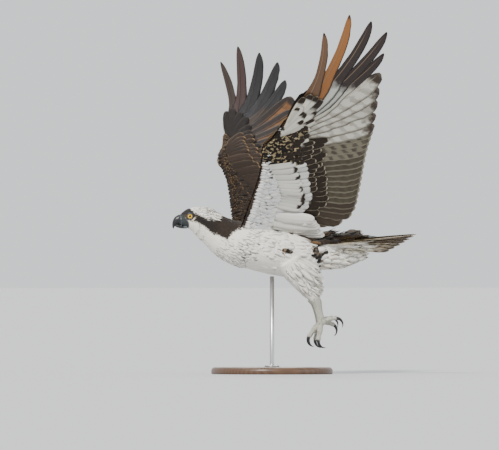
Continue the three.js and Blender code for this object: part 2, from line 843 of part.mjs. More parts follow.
function add(name, solid, finish, parent = osprey) {
  const { vertProperties, triVerts, numProp, numVert } = solid.getMesh();
  const positions = new Float32Array(numVert * 3);
  for (let i = 0; i < numVert; i++) positions.set(vertProperties.subarray(i * numProp, i * numProp + 3), i * 3);
  const geometry = new THREE.BufferGeometry();
  geometry.setAttribute("position", new THREE.BufferAttribute(positions, 3));
  geometry.setIndex(new THREE.BufferAttribute(triVerts, 1));
  geometry.computeVertexNormals();
  const mesh = new THREE.Mesh(geometry, finish);
  mesh.name = name;
  parent.add(mesh);
  return mesh;
}

add("head", makeHead(), MATERIALS.white);
add("neck", trunkBetween(HEAD_END, NECK_END), MATERIALS.brown);
add("torso", trunkBetween(NECK_END, TORSO_END), MATERIALS.white);
add("tail", makeTail(), MATERIALS.flight);
add("bill_upper", makeUpperBill(), MATERIALS.bill);
add("bill_lower", makeLowerBill(), MATERIALS.bill);

for (const [name, side] of [["left", -1], ["right", 1]]) {
  const eye = add(`eye_${name}`, fromGeometry(eyeball(EYE.radius)), MATERIALS.eye);
  eye.position.set(EYE.x, side * EYE.y, EYE.z);
}

for (const [name, wing] of Object.entries(WINGS)) add(`wing_${name}`, makeWing(wing), MATERIALS.flight);

for (const [name, leg] of Object.entries(LEGS)) {
  add(`thigh_${name}`, makeThigh(leg), MATERIALS.white);
  add(`tarsus_${name}`, largest(legPart(leg, HEEL, ANKLE)), MATERIALS.skin);
  add(`foot_${name}`, makeFoot(leg), MATERIALS.skin);
  for (const toe of TOES) add(`talon_${name}_${toe.name}`, makeTalon(leg, toe), MATERIALS.talon);
}

const stand = new THREE.Group();
osprey.add(stand);
add("stand_base", makeBase(), MATERIALS.wood, stand);
add("stand_rod", makeRod(), MATERIALS.steel, stand);

export default osprey;
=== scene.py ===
"""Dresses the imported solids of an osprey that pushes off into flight, as a display model.

Sizes are in millimetres unless a name ends in _M. The bird faces -X, its left is -Y.
"""
import math

import bpy
import numpy as np
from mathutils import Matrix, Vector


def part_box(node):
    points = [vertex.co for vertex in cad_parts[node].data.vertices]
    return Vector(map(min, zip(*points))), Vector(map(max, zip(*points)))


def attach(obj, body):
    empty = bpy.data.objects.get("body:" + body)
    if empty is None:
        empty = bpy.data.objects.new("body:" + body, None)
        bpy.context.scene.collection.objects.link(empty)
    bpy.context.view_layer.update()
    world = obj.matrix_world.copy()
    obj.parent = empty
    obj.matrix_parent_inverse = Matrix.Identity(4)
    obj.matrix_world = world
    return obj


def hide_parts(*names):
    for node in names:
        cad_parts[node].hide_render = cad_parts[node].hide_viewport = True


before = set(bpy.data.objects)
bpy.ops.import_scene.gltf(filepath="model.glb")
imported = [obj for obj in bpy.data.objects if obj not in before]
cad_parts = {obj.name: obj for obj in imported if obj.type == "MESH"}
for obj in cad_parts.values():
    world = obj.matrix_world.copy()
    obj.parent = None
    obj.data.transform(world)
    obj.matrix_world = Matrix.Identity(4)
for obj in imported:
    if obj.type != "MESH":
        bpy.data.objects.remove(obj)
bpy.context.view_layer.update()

MM = 0.001
rng = np.random.default_rng(11)

# The trunk from the bill's root to the tail's root: x, z, reach up, reach down, half width
TRUNK = np.array([
    [-219, 354, 12, 11.5, 9.5], [-209, 355, 20, 17.5, 16], [-196, 356, 27, 24, 22],
    [-181, 355, 32, 31, 27], [-166, 350, 36, 36, 30], [-152, 342, 39, 40, 33],
    [-130, 327, 44, 45, 39], [-106, 312, 50, 51, 49], [-78, 301, 56, 56, 59],
    [-45, 295, 58, 58, 64], [0, 286, 60, 60, 65], [46, 280, 58, 60, 60],
    [88, 282, 48, 50, 50], [122, 289, 36, 37, 38], [150, 297, 24, 26, 28],
    [172, 304, 14, 15, 20], [190, 308, 6, 7, 12],
], float)
COAT_DEPTH = 4.0  # of the feathers over the body's flesh
FACE_DEPTH = 1.6

EYE = {"x": -197.6, "y": 15.6, "z": 362.4, "radius": 8.2, "lid": 6.0, "tube": 1.6}
BILL = np.array([
    [-209, 354.5, 12, 11, 10.2], [-214, 354.5, 12.2, 11.2, 9.8], [-220, 354.5, 12, 11.5, 9],
    [-225, 353, 9.5, 10.5, 7.6], [-229.5, 348.5, 6.6, 7, 5.4], [-232.4, 342.5, 4.2, 3.4, 3.2],
    [-233.8, 337.5, 2, 1.8, 1.6], [-233.6, 334.5, 0.5, 0.5, 0.4],
], float)
LOWER_BILL = np.array([
    [-203, 339, 3.6, 4.4, 8.6], [-214, 338.6, 3.4, 3.6, 7],
    [-223, 339.8, 5.6, 2.9, 4.8], [-229.8, 341.8, 4.2, 1.6, 2.8],
], float)

# The wing's sheet: x back from the shoulder, s out along the span, h up from the sheet
SHOULDER = {"x": -78, "out": 42, "z": 337}
WRIST_S = 242
WRIST_BLEND = 140
CAMBER = {"high": 6, "at": 70, "half": 130}
WINGS = {
    "left": {"side": -1, "arm": 48, "hand": 40},
    "right": {"side": 1, "arm": 40, "hand": 33},
}
PRIMARIES = 10
SECONDARIES = 13
FLIGHT = 26
FINGERS = 5
FLIGHT_TIPS = np.array([
    [0, 84, 609, 30], [1, 135, 662, 40], [2, 186, 653, 32], [3, 226, 627, 26],
    [4, 231, 560, 20], [5, 234, 498, 14], [7, 241, 414, 3], [9, 250, 334, 0],
    [13, 250, 252, 0], [22, 254, 84, 0], [24, 248, 45, 0], [25, 230, 21, 0],
], float)
FLIGHT_ROOTS = np.array([
    [0, 50, 332, -3], [4, 44, 300, 0], [9, 36, 254, 0],
    [11, 38, 230, 0], [22, 102, 98, 0], [25, 92, 56, 0],
], float)
WING_CORE = np.array([
    [-44, -8, 100, 13], [0, -4, 106, 13], [50, 1, 112, 12], [110, 8, 108, 11], [163, 12, 82, 10],
    [210, 9, 60, 9], [248, 14, 52, 8.5], [290, 28, 60, 7], [340, 43, 64, 4],
], float)
FLIGHT_TILT = 0.1

# Rows of coverts: side of the wing, the flight feathers they lie along, their count,
# where they start ahead of them, how far they reach along them, and their height over
# the sheet at the root and the tip
COVERT_COLUMNS = ("side", "first", "last", "count", "start", "reach", "rise", "lie", "width", "look")
COVERTS = [dict(zip(COVERT_COLUMNS, row)) for row in [
    # upper face: greater primary, greater secondary and two rows of median coverts
    (1, 0.2, 9.4, 10, -8, 0.36, 2.5, 4.4, 25, "dark"),
    (1, 10, 24.6, 15, -22, 0.48, 3.6, 5.4, 27, "brown"),
    (1, 6.4, 24.6, 20, -28, 0.33, 5, 7.2, 25, "brown"),
    (1, 5, 24.6, 22, -32, 0.21, 6, 9, 24, "brown"),
    # under face: two rows of primary, two of secondary and two of median coverts
    (-1, 0.2, 9.4, 10, -8, 0.34, -4.2, -6.0, 25, "spotted"),
    (-1, 0.4, 9.0, 10, -10, 0.2, -5.2, -7.4, 22, "spotted"),
    (-1, 10, 24.6, 16, -22, 0.52, -3, -5.6, 30, "band"),
    (-1, 10, 20, 11, -25, 0.4, -4, -6.8, 25, "inner band"),
    (-1, 6.4, 24.6, 23, -28, 0.28, -5, -7.8, 24, "lining"),
    (-1, 7, 24.6, 25, -32, 0.17, -6, -9.6, 22, "lining spots"),
]]

# Long feathers under the wing's root: root and tip of the first on the sheet, and steps
AXILLARIES = {"count": 9, "root_x": 62, "root_s": -10, "tip_x": 190, "tip_s": -13, "step": 6,
              "shorten": 4, "width": 30, "rise": -6, "lie": -13}

TAIL = {"x": 152, "z": 303, "count": 12, "spread": 32, "length": 190, "outer_loss": 16,
        "width": 46, "pitch": 4, "roll": 10, "arch": 6, "root_out": 13, "top": 4, "layer": 0.95}

LEG = np.array([
    [30, 262, 31], [46, 237, 28], [61, 215, 23.5], [74, 197, 19], [87, 180, 14],
    [97, 165, 11.5], [101, 150, 9], [105, 134, 8.4], [109, 120, 9.6], [110, 113, 7],
], float)
HEEL = 4.9
LEGS = {
    "left": {"side": -1, "out": 36, "shift": 0},
    "right": {"side": 1, "out": 36, "shift": 14},
}
TOES = [
    {"name": "inner", "forward": 29, "down": 35, "out": -11, "r": 6.2},
    {"name": "middle", "forward": 10, "down": 43, "out": 7, "r": 6.2},
    {"name": "outer", "forward": -33, "down": -9, "out": 12, "r": 5.8},
    {"name": "hind", "forward": -31, "down": 7, "out": -8, "r": 5.8},
]
TALON = {"long": 32, "r": 3.9, "tip": 0.2, "turn": 120, "sunk": 2.5, "rows": 48, "round": 20}
STAND = {"radius": 140, "thick": 16, "edge": 9, "rod": 5, "flange": 17, "flange_thick": 4, "fillet": 4}

# The lobe of loose feathers under the tail: as the trunk
VENT = np.array([
    [96, 272, 22, 28, 30], [125, 271, 24, 28, 30], [150, 271, 25, 27, 28],
    [175, 271, 21, 21, 24], [195, 273, 13, 13, 17], [207, 275, 4, 4, 8],
], float)

# The dark stripe on the side of the head, as x and z seen from the side
MASK_TOP = np.array([
    [-222, 390], [-201, 390], [-194, 378], [-187, 371], [-176, 365.5], [-168, 362],
    [-158, 357.5], [-139, 357.5], [-126, 362], [-114, 378],
], float)
MASK_BOTTOM = np.array([
    [-222, 360], [-206, 355], [-192, 350.5], [-183, 349], [-170, 341], [-158, 331], [-152, 326],
    [-126, 314], [-116, 308], [-108, 320], [-98, 327], [-80, 336], [0, 337],
], float)

BACK_DEPTH = 11.0  # how far down from the back's line the brown comes

# Zones of the body's markings along x and z, and of the painted shade under the tail: over which edge each
# comes in, and goes
ZONES = {
    "cream": {"x_until": (-200, -60)},
    "head": {"x_from": (-224, -219)},
    "nape": {"x_from": (-128, -112)},
    "neck": {"x_from": (-170, -120)},
    "rump": {"x_from": (60, 90), "z_from": (296, 306), "x_until": (140, 150)},
    "back": {"x_from": (-112, -98), "x_until": (140, 150)},
    "crown": {"z_from": (372, 380), "x_from": (-214, -190)},
    "lores": {"x_until": (-203, -197), "z_until": (364, 370)},
    "brow": {"x_until": (-200, -194), "z_from": (366, 372)},
    "breast": {"x_from": (-112, -95), "x_until": (-50, -20), "z_from": (255, 266), "z_until": (300, 318)},
    # painted shade: darkens the lower feathers at the back of the lobe under the tail
    "vent": {"x_from": (150, 185), "z_until": (244, 262)},
}
NAPE_FROM = -112  # from here on the brown has no upper edge
RAGGED_EDGE = 1.6
CROWN_SHARE, BREAST_SHARE = 0.12, 0.13  # of the feathers that are dark
FLECK = {"x": -191, "z": 356.2, "turn": (0.76, 0.65), "half_wide": 1.5, "half_long": 5.5, "strength": 1.3}
# Golden patches on the side: place as x and z, half sizes and strength
FLANK_PATCHES = [(22, 281, 12, 9, 1.0), (99, 290, 15, 28, 1.6)]
FLANK_SIDE = (8, 20)  # how far off the middle they come in
# Where the feathers start behind the bill: heights, and x there
BARE_HEIGHTS, BARE_EDGE = [340, 350, 363, 372], [-199, -201, -213, -216]

TAUPE = (0.13, 0.105, 0.085)
BARE_SKIN = (0.050, 0.062, 0.068)

WHITE = (0.90, 0.88, 0.83)
CREAM = (0.86, 0.78, 0.60)
DARK_BROWN = (0.014, 0.009, 0.006)
BROWN = (0.048, 0.028, 0.015)
BUFF = (0.42, 0.31, 0.20)
FLANK_GOLD = (0.17, 0.10, 0.04)
SLATE = (0.030, 0.028, 0.030)

# Body feathers: depth of the cup as a share of the width, thickness, and how deep they root
BODY_CUP, BODY_THICK, ROOT_SINK = 0.06, 0.6, 1.2
FRAYED = (0.4, 1)  # shares of the length between which the end comes to fray
EDGE_FRAY = 0.5  # of the sides, as a share of the end's
TIP_THINNING = 0.7
CURL_RUN = 200  # the length at which a curl of 1 bends a feather by that much
TUFT_PATCH = 0.003  # size of each tuft's place on the bake map

LEAST = 1e-9  # keeps a length from nothing
LEAST_HALF = 0.2  # of an oval, so that an end never closes
SPAN_END, SPAN_STEP = 761, 2.0
GIRTH_POINTS = 24
LEAST_ROUND = 6  # feathers in a row
SPEED_ANGLE, SPEED_STEP = 1.2, 0.05  # where and over which step a surface's length is read


# Shapes read at many places at once


def track(knots, at):
    """Smooth curves through rows of [at, values...]."""
    at = np.asarray(at, float)
    where, value = knots[:, 0], knots[:, 1:]
    last = len(knots) - 1
    left = np.clip(np.arange(last + 1) - 1, 0, last)
    right = np.clip(np.arange(last + 1) + 1, 0, last)
    slope = (value[right] - value[left]) / (where[right] - where[left])[:, None]
    i = np.clip(np.searchsorted(where, at, side="left") - 1, 0, last - 1)
    step = (where[i + 1] - where[i])[..., None]
    u = (at - where[i])[..., None] / step
    return ((2 * u**3 - 3 * u**2 + 1) * value[i] + (u**3 - 2 * u**2 + u) * slope[i] * step
            + (3 * u**2 - 2 * u**3) * value[i + 1] + (u**3 - u**2) * slope[i + 1] * step)


def unit(v):
    return v / np.maximum(np.linalg.norm(v, axis=-1, keepdims=True), LEAST)


def smooth(x, low, high):
    t = np.clip((x - low) / (high - low), 0, 1)
    return t * t * (3 - 2 * t)


def mix(a, b, share):
    share = np.asarray(share)[..., None]
    return np.asarray(a) * (1 - share) + np.asarray(b) * share


def around(columns):
    """Angles evenly round a ring."""
    return np.linspace(0, 2 * math.pi, columns, endpoint=False)


def oval(sections, inset=0.0, y=0.0):
    """A surface over oval sections, as a function of section and angle."""
    knots = np.column_stack([np.arange(len(sections)), sections])
    step = 0.02
    down, half_width = (3, 4) if sections.shape[1] > 3 else (2, 2)

    def surface(t, angle):
        here = track(knots, t)
        ahead = track(knots, np.minimum(t + step, len(sections) - 1))
        behind = track(knots, np.maximum(t - step, 0))
        tangent = unit(np.stack([ahead[..., 0] - behind[..., 0], ahead[..., 1] - behind[..., 1]], -1))
        none = np.zeros_like(t)
        up = np.stack([-tangent[..., 1], none, tangent[..., 0]], -1)
        up = up * np.where(up[..., 2:] < 0, -1, 1)
        rise = np.where(np.cos(angle) > 0, here[..., 2], here[..., down])
        depth = inset(t) if callable(inset) else inset
        rise = np.maximum(rise - depth, LEAST_HALF) * np.cos(angle)
        wide = np.maximum(here[..., half_width] - depth, LEAST_HALF) * np.sin(angle)
        centre = np.stack([here[..., 0], none + y, here[..., 1]], -1)
        return centre + up * rise[..., None] + np.stack([none, wide, none], -1)

    return surface


def surface_frame(surface, t, angle, step=0.03):
    """Point, direction of rising t and outward normal."""
    at = surface(t, angle)
    along = unit(surface(t + step, angle) - surface(t - step, angle))
    round_it = surface(t, angle + step) - surface(t, angle - step)
    normal = unit(np.cross(along, round_it))
    return at, along, normal


def coat_inset(t):
    return FACE_DEPTH + (COAT_DEPTH - FACE_DEPTH) * smooth(t, 2.5, 6)


def span_path(wing):
    """Places along the span, and the path and lift of the sheet there."""
    s = np.arange(0, SPAN_END, SPAN_STEP)
    blend = smooth(s, WRIST_S - WRIST_BLEND / 2, WRIST_S + WRIST_BLEND / 2)
    lift = np.radians(wing["arm"] + (wing["hand"] - wing["arm"]) * blend)
    out = SHOULDER["out"] + np.concatenate([[0], np.cumsum(np.cos(lift[:-1]) * SPAN_STEP)])
    z = SHOULDER["z"] + np.concatenate([[0], np.cumsum(np.sin(lift[:-1]) * SPAN_STEP)])
    return s, out, z, lift


def wing_sheet(wing):
    """Gives the place in the frame of x, s and h on the wing's sheet."""
    spans, outs, heights, lifts = span_path(wing)

    def place(x, s, h):
        lift = np.interp(s, spans, lifts)
        inward = np.minimum(s, 0)
        out = np.interp(s, spans, outs) + inward * np.cos(lift)
        z = np.interp(s, spans, heights) + inward * np.sin(lift)
        up = h + CAMBER["high"] * (1 - ((x - CAMBER["at"]) / CAMBER["half"]) ** 2)
        return np.stack([SHOULDER["x"] + x, wing["side"] * (out - up * np.sin(lift)),
                         z + up * np.cos(lift)], -1)

    return place


def core_swell(share):
    """The wing's flesh is fuller towards its leading edge."""
    return 1.15 - 0.75 * share


def core_height(share, half):
    angle = np.arccos(np.clip(1 - 2 * share, -1, 1))
    return half * np.sin(angle) * core_swell(share)


def tail_sheet(x, s, h):
    sagged = h - TAIL["arch"] * (s / 100) ** 2
    roll, pitch = math.radians(-TAIL["roll"]), math.radians(-TAIL["pitch"])
    # the pitch comes before the roll
    px = x * math.cos(pitch) + sagged * math.sin(pitch)
    pz = -x * math.sin(pitch) + sagged * math.cos(pitch)
    y = s * math.cos(roll) - pz * math.sin(roll)
    up = s * math.sin(roll) + pz * math.cos(roll)
    return np.stack([TAIL["x"] + px, y, TAIL["z"] + up], -1)


# Meshes

def link_new(name, data):
    made = bpy.data.objects.new(name, data)
    bpy.context.scene.collection.objects.link(made)
    return made


def make_object(name, points, faces):
    mesh = bpy.data.meshes.new(name)
    mesh.from_pydata((np.asarray(points) * MM).tolist(), [], faces)
    mesh.update()
    mesh.polygons.foreach_set("use_smooth", [True] * len(mesh.polygons))
    return link_new(name, mesh)


def grid_faces(rows, columns, wrap, offset=0):
    i, j = np.meshgrid(np.arange(rows - 1), np.arange(columns - (0 if wrap else 1)), indexing="ij")
    k = (j + 1) % columns
    quads = np.stack([i * columns + j, i * columns + k, (i + 1) * columns + k, (i + 1) * columns + j], -1)
    return (quads.reshape(-1, 4) + offset).tolist()


def tube_mesh(rings):
    """Closed skin over rings of points, with a fan at each end."""
    rings = np.asarray(rings)
    rows, columns = rings.shape[:2]
    points = np.concatenate([rings.reshape(-1, 3), [rings[0].mean(0)], [rings[-1].mean(0)]])
    faces = grid_faces(rows, columns, True)
    first, last = rows * columns, rows * columns + 1
    end = (rows - 1) * columns
    for j in range(columns):
        k = (j + 1) % columns
        faces.append([first, k, j])
        faces.append([last, end + j, end + k])
    return points, faces


def oval_rings(surface, start, stop, rows, columns):
    t = np.linspace(start, stop, rows)[:, None] + np.zeros(columns)
    return surface(t, around(columns) + np.zeros((rows, 1)))


def read_points(mesh):
    points = np.zeros(len(mesh.vertices) * 3)
    mesh.vertices.foreach_get("co", points)
    return points.reshape(-1, 3)


def face_outward(made):
    """Turns the faces of a closed mesh outwards."""
    mesh = made.data
    mesh.calc_loop_triangles()
    points = read_points(mesh)
    index = np.zeros(len(mesh.loop_triangles) * 3, int)
    mesh.loop_triangles.foreach_get("vertices", index)
    a, b, c = (points[corner] for corner in index.reshape(-1, 3).T)
    if np.einsum("ij,ij->i", a, np.cross(b, c)).sum() < 0:
        mesh.flip_normals()
    return made


def closed_object(name, parts):
    points, faces = [], []
    for part_points, part_faces in parts:
        offset = sum(len(p) for p in points)
        faces += [[offset + v for v in face] for face in part_faces]
        points.append(part_points)
    return make_object(name, np.concatenate(points), faces)


def one_skin(name, parts, voxel, softness):
    """Melts closed parts that overlap into one even mesh."""
    made = closed_object(name, parts)
    remesh = made.modifiers.new("one skin", "REMESH")
    remesh.mode = "VOXEL"
    remesh.voxel_size = voxel * MM
    relax = made.modifiers.new("soften", "SMOOTH")
    relax.iterations = softness
    evaluated = made.evaluated_get(bpy.context.evaluated_depsgraph_get())
    made.data = bpy.data.meshes.new_from_object(evaluated)
    made.modifiers.clear()
    made.data.polygons.foreach_set("use_smooth", [True] * len(made.data.polygons))
    return made


def set_point_values(made, name, kind, values):
    attribute = made.data.attributes.new(name, kind, "POINT")
    key = {"FLOAT": "value", "FLOAT_VECTOR": "vector", "FLOAT_COLOR": "color"}[kind]
    attribute.data.foreach_set(key, np.asarray(values, np.float32).ravel())


def set_bake_map(made, uv):
    """Gives each corner its point's place on the piece's own unwrap."""
    layer = made.data.uv_layers.new(name="OFBake")
    index = np.zeros(len(made.data.loops), int)
    made.data.loops.foreach_get("vertex_index", index)
    layer.data.foreach_set("uv", np.asarray(uv, np.float32)[index].ravel())


def finish_piece(made, slot, *materials):
    for material in materials:
        made.data.materials.append(material)
    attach(made, "root")
    return made


# Feathers: closed vanes, thickest at the shaft

OUTLINES = {
    "contour": ([0, 0.3, 0.62, 0.88, 1], [0.42, 0.9, 1, 0.72, 0.18]),
    "broad": ([0, 0.15, 0.4, 0.65, 0.82, 0.93, 1], [0.4, 0.75, 0.97, 1, 0.9, 0.62, 0.16]),
    "hair": ([0, 0.5, 1], [0.7, 0.8, 0.1]),
    "plume": ([0, 0.25, 0.5, 0.75, 1], [0.35, 0.8, 1, 0.75, 0.1]),
}


def set_colours(made, name, colours):
    set_point_values(made, name, "FLOAT_COLOR", np.column_stack([colours, np.ones(len(colours))]))


class Vanes:
    """Gathers vanes of one template into a mesh."""

    def __init__(self, rows, columns, across=None):
        self.rows, self.columns = rows, columns
        self.across = np.linspace(-1, 1, columns) if across is None else np.array(across)
        self.inner = np.array([(r, c) for r in range(1, rows - 1) for c in range(1, columns - 1)])
        self.points_each = rows * columns + len(self.inner)
        below = np.arange(rows * columns).reshape(rows, columns)
        below[self.inner[:, 0], self.inner[:, 1]] = np.arange(rows * columns, self.points_each)
        top = np.array(grid_faces(rows, columns, False))
        self.faces = np.concatenate([top, below.ravel()[top[:, ::-1]]])
        self.is_under = np.repeat([0, 1], len(top))
        self.parts = {"points": [], "vane": [], "tint": [], "mark": [], "uv": []}

    def add(self, points, thick, u, tint, mark, root_uv, patch=TUFT_PATCH):
        """points, M by rows by columns; thick, the half thickness as a vector at each point."""
        count = len(points)
        r, c = self.inner.T
        top = (points + thick).reshape(count, self.rows, self.columns, 3)
        rim = np.ones((self.rows, self.columns), bool)
        rim[r, c] = False
        top[:, rim] = points[:, rim]
        under = (points - thick)[:, r, c]
        whole = np.concatenate([top.reshape(count, -1, 3), under], 1)
        uu = np.broadcast_to(u, (count, self.rows))[:, :, None] + np.zeros(self.columns)
        vv = np.zeros((count, self.rows, 1)) + self.across
        seed = np.broadcast_to(rng.random(count)[:, None, None], uu.shape)
        vane = np.stack([uu, vv, seed], -1)
        vane = np.concatenate([vane.reshape(count, -1, 3), vane[:, r, c]], 1)
        self.parts["points"].append(whole.reshape(-1, 3))
        self.parts["vane"].append(vane.reshape(-1, 3))
        for key, value in (("tint", tint), ("mark", mark)):
            value = np.broadcast_to(np.asarray(value, float), (count, 3))
            self.parts[key].append(np.repeat(value, self.points_each, axis=0))
        size = np.broadcast_to(patch, (count, 2))[:, None]
        uv = root_uv[:, None, :] + (vane[..., [1, 0]] * [0.5, 1] - [0, 0.5]) * size
        self.parts["uv"].append(uv.reshape(-1, 2))

    def build(self, name, slot, *materials):
        whole = {key: np.concatenate(part) for key, part in self.parts.items()}
        starts = np.arange(0, len(whole["points"]), self.points_each)
        faces = (self.faces[None] + starts[:, None, None]).reshape(-1, 4)
        made = face_outward(make_object(name, whole["points"], faces.tolist()))
        set_point_values(made, "vane", "FLOAT_VECTOR", whole["vane"])
        set_colours(made, "tint", whole["tint"])
        set_colours(made, "mark", whole["mark"])
        set_bake_map(made, whole["uv"])
        return finish_piece(made, slot, *materials)


def body_vanes(vanes, outline, at, along, normal, length, width, *, lift, curl, fray, tint, mark, root_uv,
               cup=BODY_CUP, thick=BODY_THICK, sink=ROOT_SINK):
    """Lays small feathers on a surface, each rising from its root by the lift, in degrees."""
    u, wide = (np.array(v) for v in OUTLINES[outline])
    count = len(at)
    along, across, normal = (v[:, None, None] for v in (along, unit(np.cross(normal, along)), normal))
    length, width, lift = (np.broadcast_to(v, count)[:, None, None] for v in (length, width, lift))
    u, wide, v = u[None, :, None], wide[None, :, None], vanes.across[None, None, :]
    ragged = 1 + fray * rng.normal(size=(count, 1, vanes.columns)) * smooth(u, *FRAYED)
    run = length * u * ragged
    worn = 1 + EDGE_FRAY * fray * rng.normal(size=(count, u.size, vanes.columns))
    side = width / 2 * wide * v * worn
    bend = curl * run**2 / CURL_RUN
    rise = run * np.tan(np.radians(lift)) - bend + cup * width * (1 - v**2) * wide - sink
    points = at[:, None, None] + along * run[..., None] + across * side[..., None] + normal * rise[..., None]
    half = np.broadcast_to(thick / 2 * (1 - TIP_THINNING * u) * (1 - v**2), run.shape)
    vanes.add(points, normal * half[..., None], u.ravel(), tint, mark, root_uv)


def turned(along, normal, angle):
    """Turns directions about their normals."""
    across = np.cross(normal, along)
    return along * np.cos(angle)[:, None] + across * np.sin(angle)[:, None]


def rows_on(surface, start, stop, length_at, round_share=0.31, along_share=0.36):
    """Staggered rows of roots over a surface, closer where the feathers are shorter."""
    ts, angles = [], []
    t, row = start, 0
    while t < stop:
        here, there = (surface(np.array([at]), np.array([SPEED_ANGLE])) for at in (t, t + SPEED_STEP))
        length = length_at(t)
        speed = np.linalg.norm(there - here) / SPEED_STEP
        ring = surface(np.full(GIRTH_POINTS, t), around(GIRTH_POINTS))
        girth = np.linalg.norm(ring - np.roll(ring, 1, 0), axis=1).sum()
        count = max(LEAST_ROUND, int(girth / (length * round_share)))
        turn = np.arange(count) + (row % 2) / 2 + rng.uniform(-0.3, 0.3, count)
        angles.append(turn / count * 2 * math.pi)
        ts.append(t + rng.uniform(-0.4, 0.4, count) * length * along_share / speed)
        t += length * along_share / speed
        row += 1
    return np.concatenate(ts), np.concatenate(angles)


# Markings, the same on the skin and on the feathers over it

def zone(name, x, z):
    """Strength of a zone of the markings, or of the painted shade under the tail, fading over its edges."""
    share = 1.0
    for edge, (low, high) in ZONES[name].items():
        value = x if edge.startswith("x") else z
        share = share * (smooth(value, low, high) if edge.endswith("from") else smooth(-value, -high, -low))
    return share


def dark_share(x, z, ragged):
    """Strength of the brown: stripe of the head, nape, back and rump."""
    top, bottom = np.interp(x, *MASK_TOP.T), np.interp(x, *MASK_BOTTOM.T)
    stripe = smooth(top - z + ragged, -1.5, 2.5) * smooth(z - bottom + ragged, -2, 3)
    nape = smooth(z - bottom + ragged * 2, -3, 4)
    head = np.where(x > NAPE_FROM, nape, stripe) * zone("head", x, z)
    back_line = np.interp(x, TRUNK[:, 0], TRUNK[:, 1] + TRUNK[:, 3]) - BACK_DEPTH
    back = smooth(z - back_line + ragged, -4, 4) * zone("back", x, z)
    return np.max([head, zone("nape", x, z) * nape, zone("rump", x, z), back], axis=0)


def eye_fleck(x, z):
    """Strength of the pale fleck behind the eye."""
    x, z, (flat, steep) = x - FLECK["x"], z - FLECK["z"], FLECK["turn"]
    across = (x * flat - z * steep) / FLECK["half_wide"]
    down = (x * steep + z * flat) / FLECK["half_long"]
    return np.clip(FLECK["strength"] * np.exp(-across**2 - down**2), 0, 1)


def plumage(p):
    """Colour, and the strength of dark streaks, pale fringes and gold, at points of the body."""
    x, y, z = p.T
    noise = rng.random(len(p))
    dark = dark_share(x, z, rng.normal(0, RAGGED_EDGE, len(p)))
    colour = mix(WHITE, CREAM, noise * 0.35 * zone("cream", x, z))
    colour = mix(colour, mix(DARK_BROWN, BROWN, noise * zone("neck", x, z)), dark)
    colour = mix(colour, BROWN, zone("crown", x, z) * (noise < CROWN_SHARE) * 0.6)
    colour = mix(colour, mix(TAUPE, SLATE, noise), zone("lores", x, z) * dark)
    colour = mix(colour, SLATE, zone("brow", x, z))
    colour = mix(colour, CREAM, eye_fleck(x, z))
    colour = mix(colour, BARE_SKIN, smooth(bare_edge(z) - x, -1, 1))
    streak = (rng.random(len(p)) < BREAST_SHARE) * zone("breast", x, z) * 0.85
    flank = sum(strength * np.exp(-((x - at_x) / wide) ** 2 - ((z - at_z) / high) ** 2)
                for at_x, at_z, wide, high, strength in FLANK_PATCHES)
    golden = (rng.random(len(p)) < np.clip(flank, 0, 0.9)) * smooth(np.abs(y), *FLANK_SIDE)
    colour = mix(colour, mix(FLANK_GOLD, DARK_BROWN, rng.random(len(p))), golden * 0.92)
    return colour, np.stack([streak, dark * 0.45 * zone("nape", x, z), golden], -1)


def bare_edge(z):
    """Where the feathers start behind the bill, at a height."""
    return np.interp(z, BARE_HEIGHTS, BARE_EDGE)


# Materials

DEEPEN = 1.17  # darkens browns, and leaves whites nearly as they are


GRAIN, CLOUD = 900.0, 70.0  # scales of the fine and the broad noise
MOTTLE_EDGE = (0.39, 0.47)
BARBS = 260.0
TIP_BROWN = (0.026, 0.017, 0.012)
DARK_SHAFT = (0.02, 0.014, 0.010)


class Nodes:
    """Short ways to make and link a material's nodes."""

    def __init__(self, name):
        self.material = bpy.data.materials.new(name)
        self.material.use_nodes = True
        self.tree = self.material.node_tree
        self.shader = self.tree.nodes["Principled BSDF"]

    def node(self, kind, inputs=None, **settings):
        made = self.tree.nodes.new(kind)
        for key, value in settings.items():
            setattr(made, key, value)
        for key, value in (inputs or {}).items():
            self.feed(made.inputs[key], value)
        return made

    def feed(self, socket, value):
        if isinstance(value, bpy.types.NodeSocket):
            self.tree.links.new(value, socket)
        elif socket.type == "RGBA":
            socket.default_value = (*value, 1)
        else:
            socket.default_value = value

    def math(self, operation, a, b=0.0):
        return self.node("ShaderNodeMath", {0: a, 1: b}, operation=operation).outputs[0]

    def times(self, a, b):
        return self.math("MULTIPLY", a, b)

    def plus(self, a, b):
        return self.math("ADD", a, b)

    def minus(self, a, b):
        return self.math("SUBTRACT", a, b)

    def range(self, value, low, high, to_low=0.0, to_high=1.0):
        made = self.node("ShaderNodeMapRange", {0: value, 1: low, 2: high, 3: to_low, 4: to_high},
                         interpolation_type="SMOOTHSTEP")
        return made.outputs[0]

    def blend(self, share, a, b, kind="MIX"):
        made = self.node("ShaderNodeMix", data_type="RGBA", blend_type=kind)
        for place, value in ((0, share), (6, a), (7, b)):
            self.feed(made.inputs[place], value)
        return made.outputs[2]

    def deepen(self, colour):
        return self.node("ShaderNodeGamma", {"Color": colour, "Gamma": DEEPEN}).outputs[0]

    def attribute(self, name, output):
        return self.node("ShaderNodeAttribute", attribute_name=name).outputs[output]

    def place(self):
        return self.node("ShaderNodeTexCoord").outputs["Object"]

    def stretched(self, *scale):
        return self.node("ShaderNodeMapping", {"Vector": self.place(), "Scale": scale}).outputs[0]

    def noise(self, scale, detail=3.0, at=None):
        inputs = {"Scale": scale, "Detail": detail, "Vector": at or self.place()}
        return self.node("ShaderNodeTexNoise", inputs).outputs[0]

    def bump(self, height, strength, distance):
        made = self.node("ShaderNodeBump", {"Height": height, "Strength": strength, "Distance": distance})
        self.feed(self.shader.inputs["Normal"], made.outputs[0])

    def settle(self, **values):
        for key, value in values.items():
            self.feed(self.shader.inputs[key.replace("_", " ")], value)
        return self.material


